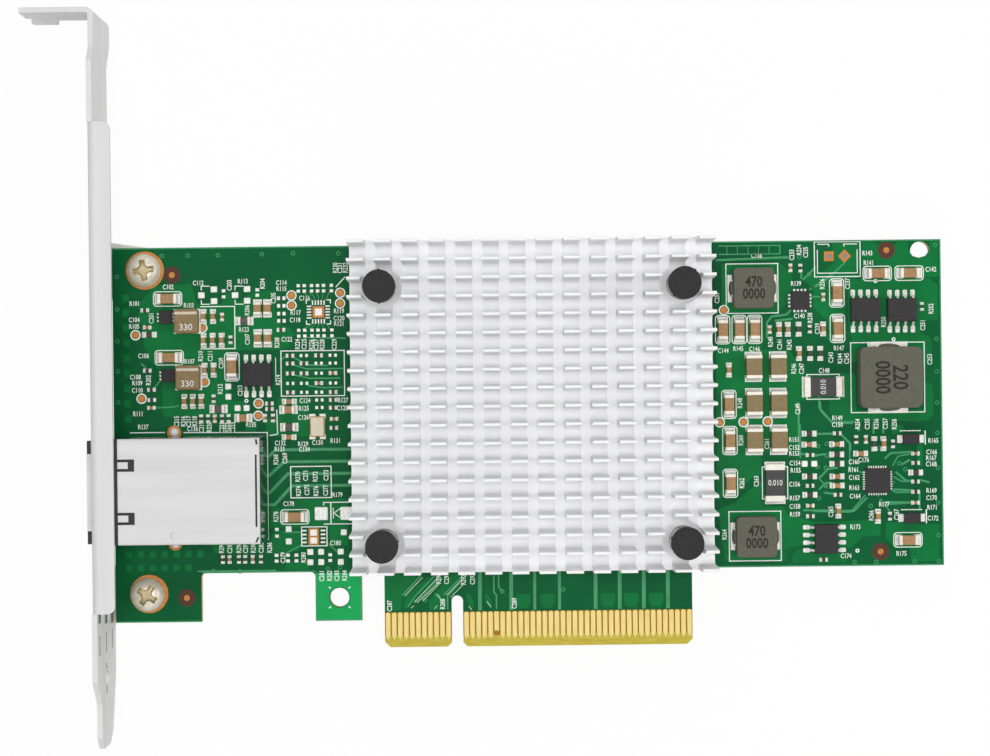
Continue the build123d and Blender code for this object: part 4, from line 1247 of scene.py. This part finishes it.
VIAS += [(61.6, 33.0), (61.6, 31.0), (61.4, 29.0), (68.8, 22.6), (70.2, 32.2), (72.4, 26.4)]
VIAS += [(73.6, 29.6), (74.6, 28.6), (-36.0, 12.9), (-40.4, 13.0), (-21.4, 13.2), (-19.4, 13.4)]
VIAS += [(7.5, 9.1), (-5.4, 7.8), (17.6, 9.3)]


def build_tracks():
    """Tracks, vias, border tracks and painted highlights along the board's edges that stand out under the
    mask.
    """
    tracks = Shape()
    for path in BUS_TRACKS:
        tracks.strip(path, 0.5, 0.008)
    for path in RUN_TRACKS:
        tracks.strip(path, 0.34, 0.009)
    for x in (3.8, 9.0, 12.9, 17.0, 23.0, 27.0, 31.0, 35.0):
        tracks.strip([(x, 12.7), (x - 0.05, 6.0)], 0.62 if x < 10 or x > 20 else 0.5, 0.008)
    for path in THIN_TRACKS:
        tracks.strip(path, 0.24, 0.01)
    for step in (-1.0, -0.5, 0.0, 0.5, 1.0):
        spread = (QUAD_X + step, QUAD_X + 1.5 * step, -22.9 + 2.3 * step)
        for heights in ((57.6, 58.4, 59.2), (54.0, 53.5, 53.0)):
            tracks.strip(list(zip(spread, heights)), 0.14, 0.01)
    for x, y in VIAS:
        tracks.hoop(x, y, 0.36, 0.14, 0.011, sides=14)
    for count in range(6):
        x = 45.4 + 1.75 * count
        tracks.strip([(x, 66.0), (x, 64.6)], 0.14, 0.01)
    # Lines along the board's edges are painted highlights in the track colour.
    for path in BORDERS_AND_EDGE_HIGHLIGHTS:
        tracks.strip(path, 0.2, SKIN)
    tracks.piece("tracks", "trace", "board_laminate")


def build_glints():
    """Painted highlights on the shoulders of the tracks beside the edge contacts."""
    glints = Shape()
    for path in GLINTS:
        glints.strip(path, 0.13, 0.014)
    glints.piece("track_glints", "glint", "board_laminate")


def build_wells():
    """Dark mouths of the vias in the copper areas."""
    wells = Shape()
    grid = [(-46.0 + 1.9 * i, 50.0 - 1.5 * j) for i in range(4) for j in range(2)]
    grid += [(44.9 + 2.0 * i, 32.0 - 2.6 * j) for i in range(2) for j in range(3)]
    grid += [(67.0 + 2.2 * i, 61.0) for i in range(5)]
    grid += [(78.6, 47.0 + 1.2 * i) for i in range(3)] + [(67.0 + 1.6 * i, 37.4) for i in range(7)]
    grid += [(56.0 + 1.2 * i, 17.8 - 0.8 * j) for i in range(3) for j in range(2)]
    grid += [(76.0 + 1.3 * i, 17.4 - 1.5 * j) for i in range(3) for j in range(3)]
    grid += [(-11.0 + 1.1 * i, 10.8 - 0.95 * j) for i in range(2) for j in range(5)]
    grid += [(-35.0 + 1.6 * i, 50.2) for i in range(3)] + [(-27.0, 14.0), (-25.6, 22.0), (-20.0, 14.6)]
    for x, y in grid:
        wells.disc(x, y, 0.16, 0.011, sides=10)
    wells.piece("via_wells", "dark", "board_laminate")


TEST_POINTS = [(-52.9, 52.3), (-52.0, 41.75), (-41.8, 53.4), (-41.5, 44.4), (-32.6, 40.75)]
TEST_POINTS += [(-32.65, 38.7), (-26.95, 58.6), (-26.95, 56.95), (-18.85, 58.95), (-18.9, 57.2)]
TEST_POINTS += [(44.8, 55.35), (43.9, 36.75), (47.85, 36.75), (51.85, 36.8)]
SMALL_LANDS = [(-38.2, 59.5), (-38.2, 58.5), (-32.6, 59.6), (-32.6, 58.7)]
SMALL_LANDS += [(x, y) for x in (-29.9, -28.0, -26.6, -21.0) for y in (15.5, 14.55)]
SMALL_LANDS += [(-29.8, 19.8), (-29.8, 18.7)]
MEDIUM_LANDS = [(-36.1, 40.0), (-34.6, 40.0), (-37.6, 43.6), (-37.6, 41.9), (-18.7, 19.2)]
MEDIUM_LANDS += [(x, y) for x in (-24.3, -22.5, -19.25) for y in (16.0, 14.3)]
MEDIUM_LANDS += [(-27.85, 19.85), (-27.85, 17.8), (57.9, 29.7), (59.5, 29.7)]
WIDE_LANDS = [(-41.9, 58.8), (-39.8, 59.75), (-39.8, 57.8)]
WIDE_LANDS += [(-36.3, 58.75), (-34.3, 59.75), (-34.3, 57.8)]


def bare_rings(copper, tinned):
    """Fiducials, rings under the screws and posts, test points and header pads."""
    rings = Shape()
    for x, y in ((-46.75, 62.2), (-44.85, 8.6), (71.85, 65.0), (70.35, 15.0)):
        rings.disc(x, y, 1.43, SKIN, sides=36)
        copper.disc(x, y, 0.5, COPPER_TOP, sides=24)
    for lo, hi in solids("bracket_screws"):
        x, y, _ = middle((lo, hi))
        aside = 0.25 if y < 30 else 0.12
        copper.hoop(x + aside, y + aside - 0.12, 3.17, 1.6, COPPER_TOP, sides=48)
        copper.hoop(x, y, 3.25, 1.6, BOARD_BACK, BOARD_BACK - COPPER_TOP, sides=48)
    for y in (36.05, 17.65):
        copper.hoop(POST_X, y, 1.15, 0.42, COPPER_TOP, sides=36)
        tinned.turned(POST_X, y, [(0.78, 0.03), (0.7, 0.3), (0.5, 0.55), (0.2, 0.65)], 24)
    for x, y in TEST_POINTS:
        copper.disc(x, y, 0.55, COPPER_TOP, sides=24)
    square, diamond = HEADER_X
    copper.patch(square, HEADER_Y, 1.6, 1.6, COPPER_TOP)
    copper.slab([(diamond, 65.2), (63.8, HEADER_Y), (diamond, 63.0), (66.0, HEADER_Y)], 0, COPPER_TOP)
    return rings


def bare_footprints(copper, tinned):
    """Two footprints without a chip, each with its thermal land and rows of pads."""
    copper.patch(QUAD_X, QUAD_Y, 1.9, 1.9, COPPER_TOP)
    tinned.patch(QUAD_X, QUAD_Y, 1.15, 1.15, 0.07)
    copper.patch(DUAL_X, 18.55, 1.7, 2.7, COPPER_TOP)
    for y in (17.9, 19.2):
        tinned.patch(DUAL_X, y, 1.1, 1.0, 0.08)
    for step in range(4):
        for sign in (-1, 1):
            tinned.patch(DUAL_X + sign * 1.55, 17.6 + 0.65 * step, 0.75, 0.28, LAND_TOP)
    for step in range(5):
        place = (step - 2) * 0.48
        for sign in (-1, 1):
            tinned.patch(QUAD_X + place, QUAD_Y + 1.55 * sign, 0.22, 0.75, LAND_TOP)
            tinned.patch(QUAD_X + 1.55 * sign, QUAD_Y + place, 0.75, 0.22, LAND_TOP)


def bare_lands(tinned):
    """Lands of the chips that aren't fitted, and solder round the jack's pins and the crystal."""
    for x in (-25.8, -24.8, -23.6, -22.6, -21.6, -20.3):
        for y in (60.2, 59.3, 52.8, 51.85):
            tinned.patch(x, y, 0.55, 0.5, LAND_TOP)
    for y in (58.15, 56.9, 55.6, 54.4):
        for x in (-29.1, -28.2):
            tinned.patch(x, y, 0.5, 0.6, LAND_TOP)
    for x, y in SMALL_LANDS:
        tinned.patch(x, y, 0.6, 0.5, LAND_TOP)
    for places, half, corner in ((MEDIUM_LANDS, 0.5, 0.15), (WIDE_LANDS, 0.55, 0.12)):
        for x, y in places:
            tinned.slab(rounded(x - half, y - 0.5, x + half, y + 0.5, corner), 0, 0.09, 0.06)
    for x in (-22.4, -18.15):
        tinned.slab(rounded(x - 1.1, 21.25, x + 1.1, 23.45, 0.2), 0, 0.12, 0.1)
    cone = [(0.85, BOARD_BACK - 0.04), (0.6, BOARD_BACK - 0.3), (0.42, BOARD_BACK - 0.8)]
    for lo, hi in solids("jack_pins"):
        x, y, _ = middle((lo, hi))
        tinned.turned(x, y, cone, 20)
    (x0, y0, _), (x1, y1, _) = solids("crystal_base")[0]
    for x in (x0 + 0.4, x1 - 0.4):
        for y in (y0, y1):
            tinned.patch(x, y, 1.0, 0.8, LAND_TOP)


def build_bare_copper():
    """Copper and solder that the mask leaves open."""
    copper = Shape()
    tinned = Shape()
    rings = bare_rings(copper, tinned)
    bare_footprints(copper, tinned)
    bare_lands(tinned)
    copper.piece("bare_copper", "copper", "contact_gold")
    rings.piece("fiducial_keepouts", "ring", "board_laminate")
    tinned.piece("bare_lands", "solder", "tin_plate", (), 0.0)
    # Grey discs in the header's holes: painted shade down the holes.
    holes = Shape()
    for x in HEADER_X:
        holes.disc(x, HEADER_Y, 0.42, 0.034, 0.0)
    holes.piece("header_hole_shade", "pit", "tin_plate")


def frame_box(ink, x0, y0, x1, y1):
    """Printed line round a rectangle."""
    ink.strip([(x0, y0), (x1, y0), (x1, y1), (x0, y1)], LINE, SKIN, closed=True)


def silk_fixed(ink):
    """Printed lines that stand by themselves."""
    frame_box(ink, -28.8, 41.9, -18.3, 49.4)
    ink.strip([(-42.1, 56.9), (-36.4, 56.9), (-36.4, 49.9), (-42.15, 49.9)], LINE, SKIN)
    frame_box(ink, -27.4, 25.0, -20.7, 30.2)
    frame_box(ink, 59.9, 60.7, 67.5, 66.5)
    ink.strip([(60.4, 65.2), (60.4, 61.3), (67.0, 61.3), (67.0, 65.2)], FINE_LINE, SKIN)
    ink.strip([(60.4, 66.1), (62.3, 66.1), (62.3, 65.7)], FINE_LINE, SKIN)
    ink.strip([(64.8, 65.7), (64.8, 66.1), (67.0, 66.1)], FINE_LINE, SKIN)
    ink.strip([(-54.0, 36.1), (-48.2, 36.1)], LINE, SKIN)
    ink.strip([(-45.1, 36.05), (-31.2, 35.9), (-31.25, 18.1)], LINE, SKIN)
    ink.strip([(-22.0, 20.6), (-17.3, 20.6)], LINE, SKIN)
    ink.strip([(-17.3, 24.2), (-22.0, 24.2), (-22.0, 23.7)], LINE, SKIN)
    ink.strip([(-20.8, 24.2), (-20.8, 20.6)], 0.2, SKIN)
    ink.strip([(-20.4, 23.3), (-20.4, 21.5)], FINE_LINE, SKIN)
    ink.strip([(-19.2, 23.2), (-20.3, 22.4), (-19.2, 21.6)], FINE_LINE, SKIN, closed=True)
    frame_box(ink, -25.7, 17.0, -21.5, 20.15)


def silk_round_parts(ink):
    """Printed outlines that follow the parts they stand round."""
    for (x0, y0, _), (x1, y1, _) in solids("large_capacitors"):
        level = x1 - x0 > y1 - y0
        px, py = (0.75, 0.4) if level else (0.4, 0.75)
        ink.strip(rounded(x0 - px, y0 - py, x1 + px, y1 + py, 0.55), 0.15, SKIN, closed=True)
    framed = (
        ("large_inductor_body", 0.95, 0.75),
        ("medium_inductor_bodies", 0.95, 0.75),
        ("sense_resistor_bodies", 0.5, 0.45),
    )
    for node, px, py in framed:
        for (x0, y0, _), (x1, y1, _) in solids(node):
            frame_box(ink, x0 - px, y0 - py, x1 + px, y1 + py)
    for (x0, y0, _), (x1, y1, _) in solids("diode_bodies"):
        ink.strip([(x0 - 0.4, y1 + 0.5), (x1 + 0.4, y1 + 0.5)], 0.15, SKIN)
        ink.strip([(x1 + 1.1, y1 + 0.5), (x1 + 1.1, y0 - 0.1)], 0.2, SKIN)


def silk_marks(ink):
    """Corner marks, rings, short lines and dots."""
    for sign_x in (-1, 1):
        for sign_y in (-1, 1):
            x = QUAD_X + 2.0 * sign_x
            y = QUAD_Y + 2.0 * sign_y
            ink.strip([(x - 0.6 * sign_x, y), (x, y), (x, y - 0.6 * sign_y)], 0.18, SKIN)
    for x, y in TEST_POINTS:
        ink.hoop(x, y, 0.86, 0.2, SKIN)
    for x, y in (WIDE_LANDS[0], WIDE_LANDS[3]):
        for sign in (1, -1):
            ink.strip([(x, y + 0.8 * sign), (x, y + 1.5 * sign), (x + 1.4, y + 1.5 * sign)], 0.15, SKIN)
    for turn in (45, 135, 225, 315):
        c = math.cos(math.radians(turn))
        s = math.sin(math.radians(turn))
        ink.strip([(HOLE_X + far * c, HOLE_Y + far * s) for far in (2.1, 2.5)], 0.2, SKIN)
    ink.strip([(-19.6, 59.9), (-18.0, 61.6)], LINE, SKIN)
    ink.strip([(-29.7, 48.3), (-29.7, 44.5)], 0.12, SKIN)
    ink.strip([(-29.6, 39.7), (-29.5, 35.6), (-30.8, 35.4)], 0.15, SKIN)
    for x, y in ((70.0, 59.9), (72.9, 50.2), (-34.6, 41.2), (66.5, 15.2)):
        ink.hoop(x, y, 0.34, 0.2, SKIN, sides=14)


def build_silk():
    """White print on the board."""
    ink = Shape()
    silk_fixed(ink)
    silk_round_parts(ink)
    silk_marks(ink)
    build_labels(ink)
    ink.piece("silk_lines", "silk", "board_laminate")


LEVEL_LABELS = (
    (-53.0, 57.5), (-47.4, 60.2), (-44.0, 57.1), (-53.1, 54.8), (-53.1, 53.7), (-51.6, 48.8),
    (-44.0, 47.8), (-53.0, 45.3), (-52.7, 44.3), (-52.7, 43.1), (-52.6, 39.2), (-42.4, 60.8),
    (-35.0, 61.0), (-28.6, 60.7), (-28.6, 59.7), (-24.8, 58.1), (-26.3, 55.7), (-26.4, 54.5),
    (-19.1, 55.9), (-19.1, 54.7), (-19.1, 53.8), (-27.8, 51.3), (-34.9, 53.0), (-24.9, 41.1),
    (-25.1, 39.8), (-25.2, 38.3), (-18.6, 41.1), (-18.7, 39.8), (-25.3, 33.9), (-22.9, 34.1),
    (-19.9, 34.4), (-29.1, 34.1), (-29.2, 33.1), (-25.1, 33.0), (-33.9, 37.2), (-43.6, 36.6),
    (-51.8, 37.0), (50.3, 64.3), (56.8, 59.6), (57.3, 54.2), (68.9, 62.9), (79.2, 61.7), (68.7, 64.5),
    (44.6, 48.6), (47.1, 48.9), (49.8, 48.8), (63.8, 48.8), (61.3, 45.1), (63.4, 37.2), (63.4, 36.1),
    (56.2, 33.7), (56.2, 32.4), (56.2, 31.4), (56.3, 29.8), (56.4, 28.6), (56.2, 26.3), (56.2, 24.0),
    (56.2, 22.6), (56.2, 21.3), (66.1, 29.9), (66.0, 28.6), (66.1, 27.3), (66.1, 25.6), (66.2, 24.2),
    (79.3, 33.3), (79.0, 31.4), (78.9, 30.4), (78.9, 29.4), (78.9, 25.0), (78.9, 23.8), (79.0, 22.2),
    (79.1, 20.4), (66.2, 19.1), (64.6, 14.3), (73.8, 14.6), (67.7, 30.2), (71.0, 22.8), (-27.8, 24.0),
    (-19.7, 25.4), (-20.1, 17.4),
)
UPRIGHT_LABELS = (
    (-50.2, 55.1), (-50.8, 44.8), (-37.2, 60.4), (-31.7, 60.6), (-29.9, 58.2), (-34.3, 56.2),
    (-34.3, 51.4), (-29.4, 50.8), (-38.7, 47.5), (-42.1, 48.7), (-40.5, 48.7), (-38.9, 43.2),
    (-35.6, 42.9), (-29.3, 44.6), (-46.2, 37.9), (-45.1, 37.9), (-44.2, 37.9), (-43.2, 37.9),
    (-42.1, 36.9), (-40.8, 36.9), (-38.7, 36.8), (-37.8, 36.8), (-36.9, 36.8), (-26.0, 50.5),
    (-24.9, 50.5), (-23.7, 50.4), (-22.9, 50.4), (-21.9, 50.4), (-19.9, 50.4), (-19.6, 63.1),
    (-18.8, 63.1), (-17.9, 63.1), (56.2, 64.4), (57.4, 65.2), (58.5, 64.8), (61.2, 59.5), (65.4, 59.5),
    (59.1, 53.9), (60.3, 52.1), (52.5, 50.0), (54.0, 49.6), (55.6, 49.5), (62.5, 47.3), (64.0, 47.1),
    (65.1, 47.1), (56.3, 45.5), (57.6, 45.5), (47.3, 39.9), (56.9, 38.8), (71.3, 53.1), (77.8, 52.5),
    (79.2, 55.2), (78.9, 46.8), (66.8, 36.2), (68.4, 36.2), (69.9, 36.2), (71.4, 36.2), (72.9, 36.1),
    (43.7, 57.4), (47.4, 33.7), (51.7, 33.1), (47.5, 26.6), (49.9, 26.9), (44.5, 18.1), (62.2, 21.7),
    (68.9, 21.0), (73.1, 21.1), (-29.8, 31.4), (-28.3, 31.6), (-26.2, 28.5), (-24.9, 28.7),
    (-23.3, 28.5), (-21.5, 28.7), (-26.1, 26.1), (-24.7, 26.3), (-23.2, 26.1), (-21.6, 26.2),
    (-29.9, 21.9), (-28.8, 15.1), (-25.4, 15.1), (-22.4, 12.0), (-21.1, 12.0), (-19.9, 12.0),
    (-18.6, 12.0), (-32.4, 16.8), (-31.0, 16.8), (-11.2, 6.9), (-2.4, 7.1), (9.5, 7.1), (-3.0, 11.3),
    (-1.7, 11.3), (1.1, 11.1), (2.6, 11.2), (-39.0, 16.8), (-37.6, 16.8), (-36.1, 16.8), (-35.0, 16.8),
    (-33.7, 16.8),
)


def build_labels(ink):
    """Plain running numbers beside the parts."""
    for count, (x, y) in enumerate(LEVEL_LABELS):
        lettering(ink, ("C%d" if count % 2 else "R%d") % (count + 101), x, y, LABEL_SIZE)
    for count, (x, y) in enumerate(UPRIGHT_LABELS):
        lettering(ink, ("R%d" if count % 2 else "C%d") % (count + 201), x, y, LABEL_SIZE, 90)


def background_rays(tree):
    """1 for the rays that show the background, 0 for those that light the object."""
    path = tree.nodes.new("ShaderNodeLightPath")
    seen = math_node(tree, "MAXIMUM", path.outputs["Is Camera Ray"], path.outputs["Is Glossy Ray"])
    return math_node(tree, "MAXIMUM", seen, path.outputs["Is Transmission Ray"])


def floor_finish():
    """White for the rays that show the background, with a share of plain floor for the shadow."""
    made = bpy.data.materials.new("floor_white")
    made.use_nodes = True
    tree = made.node_tree
    tree.nodes.clear()
    plain = tree.nodes.new("ShaderNodeBsdfDiffuse")
    plain.inputs["Color"].default_value = (0.9, 0.9, 0.9, 1)
    glow = tree.nodes.new("ShaderNodeEmission")
    share = math_node(tree, "MULTIPLY", background_rays(tree), 0.93)
    mix = tree.nodes.new("ShaderNodeMixShader")
    out = tree.nodes.new("ShaderNodeOutputMaterial")
    tree.links.new(share, mix.inputs["Fac"])
    tree.links.new(plain.outputs["BSDF"], mix.inputs[1])
    tree.links.new(glow.outputs["Emission"], mix.inputs[2])
    tree.links.new(mix.outputs["Shader"], out.inputs["Surface"])
    return made


def build_floor():
    """White floor at the part's lowest point, which keeps a faint shadow."""
    low = first_bounds[0].z
    half = 3.0
    corners = [(-half, -half, low), (half, -half, low), (half, half, low), (-half, half, low)]
    mesh = bpy.data.meshes.new("floor")
    mesh.from_pydata(corners, [], [[0, 1, 2, 3]])
    mesh.materials.append(floor_finish())
    floor = bpy.data.objects.new("floor", mesh)
    bpy.context.scene.collection.objects.link(floor)


def build_world():
    """White backdrop that gives the object only a soft share of its light."""
    world = bpy.data.worlds.new("studio")
    world.use_nodes = True
    tree = world.node_tree
    backdrop = tree.nodes["Background"]
    backdrop.inputs["Color"].default_value = (1, 1, 1, 1)
    ambient = 0.28
    extra = math_node(tree, "MULTIPLY", background_rays(tree), 1.0 - ambient)
    tree.links.new(math_node(tree, "ADD", extra, ambient), backdrop.inputs["Strength"])
    bpy.context.scene.world = world


def build_lamps():
    """Soft lamps on four sides and above, by place, size and watts."""
    lamps = (
        ("left", (-0.6, 0.05, 0.66), (0.3, 0.3), 0.4),
        ("back", (0.0, 0.66, 0.4), (0.6, 0.3), 1.05),
        ("right", (0.66, 0.04, 0.42), (0.3, 0.3), 1.4),
        ("front", (0.02, -0.58, 0.4), (0.6, 0.3), 1.05),
        ("above", (0.01, 0.045, 0.95), (0.4, 0.32), 3.7),
    )
    target = Vector((0.01, 0.045, 0))
    for name, place, size, watts in lamps:
        light = bpy.data.lights.new(name, "AREA")
        light.energy = watts
        light.shape = "RECTANGLE"
        light.size, light.size_y = size
        lamp = bpy.data.objects.new(name, light)
        lamp.location = place
        aim = target - Vector(place)
        lamp.rotation_euler = aim.to_track_quat("-Z", "Y").to_euler()
        bpy.context.scene.collection.objects.link(lamp)


def build_camera():
    """Camera straight above the board."""
    lens = bpy.data.cameras.new("camera")
    lens.sensor_width = 36.0
    lens.sensor_fit = "HORIZONTAL"
    lens.lens = 86.55
    lens.clip_start = 0.01
    lens.clip_end = 20.0
    camera = bpy.data.objects.new("camera", lens)
    camera.location = (6.68 * MM, 44.52 * MM, 395 * MM)
    camera.rotation_euler = (0, 0, -0.0113)
    bpy.context.scene.collection.objects.link(camera)
    bpy.context.scene.camera = camera
    bpy.context.scene.view_settings.view_transform = "Standard"


build_large_parts()
build_fixings()
build_inductors()
build_leads()
build_chips()
build_tiny_chips()
build_copper()
build_silk()
build_floor()
build_world()
build_lamps()
build_camera()
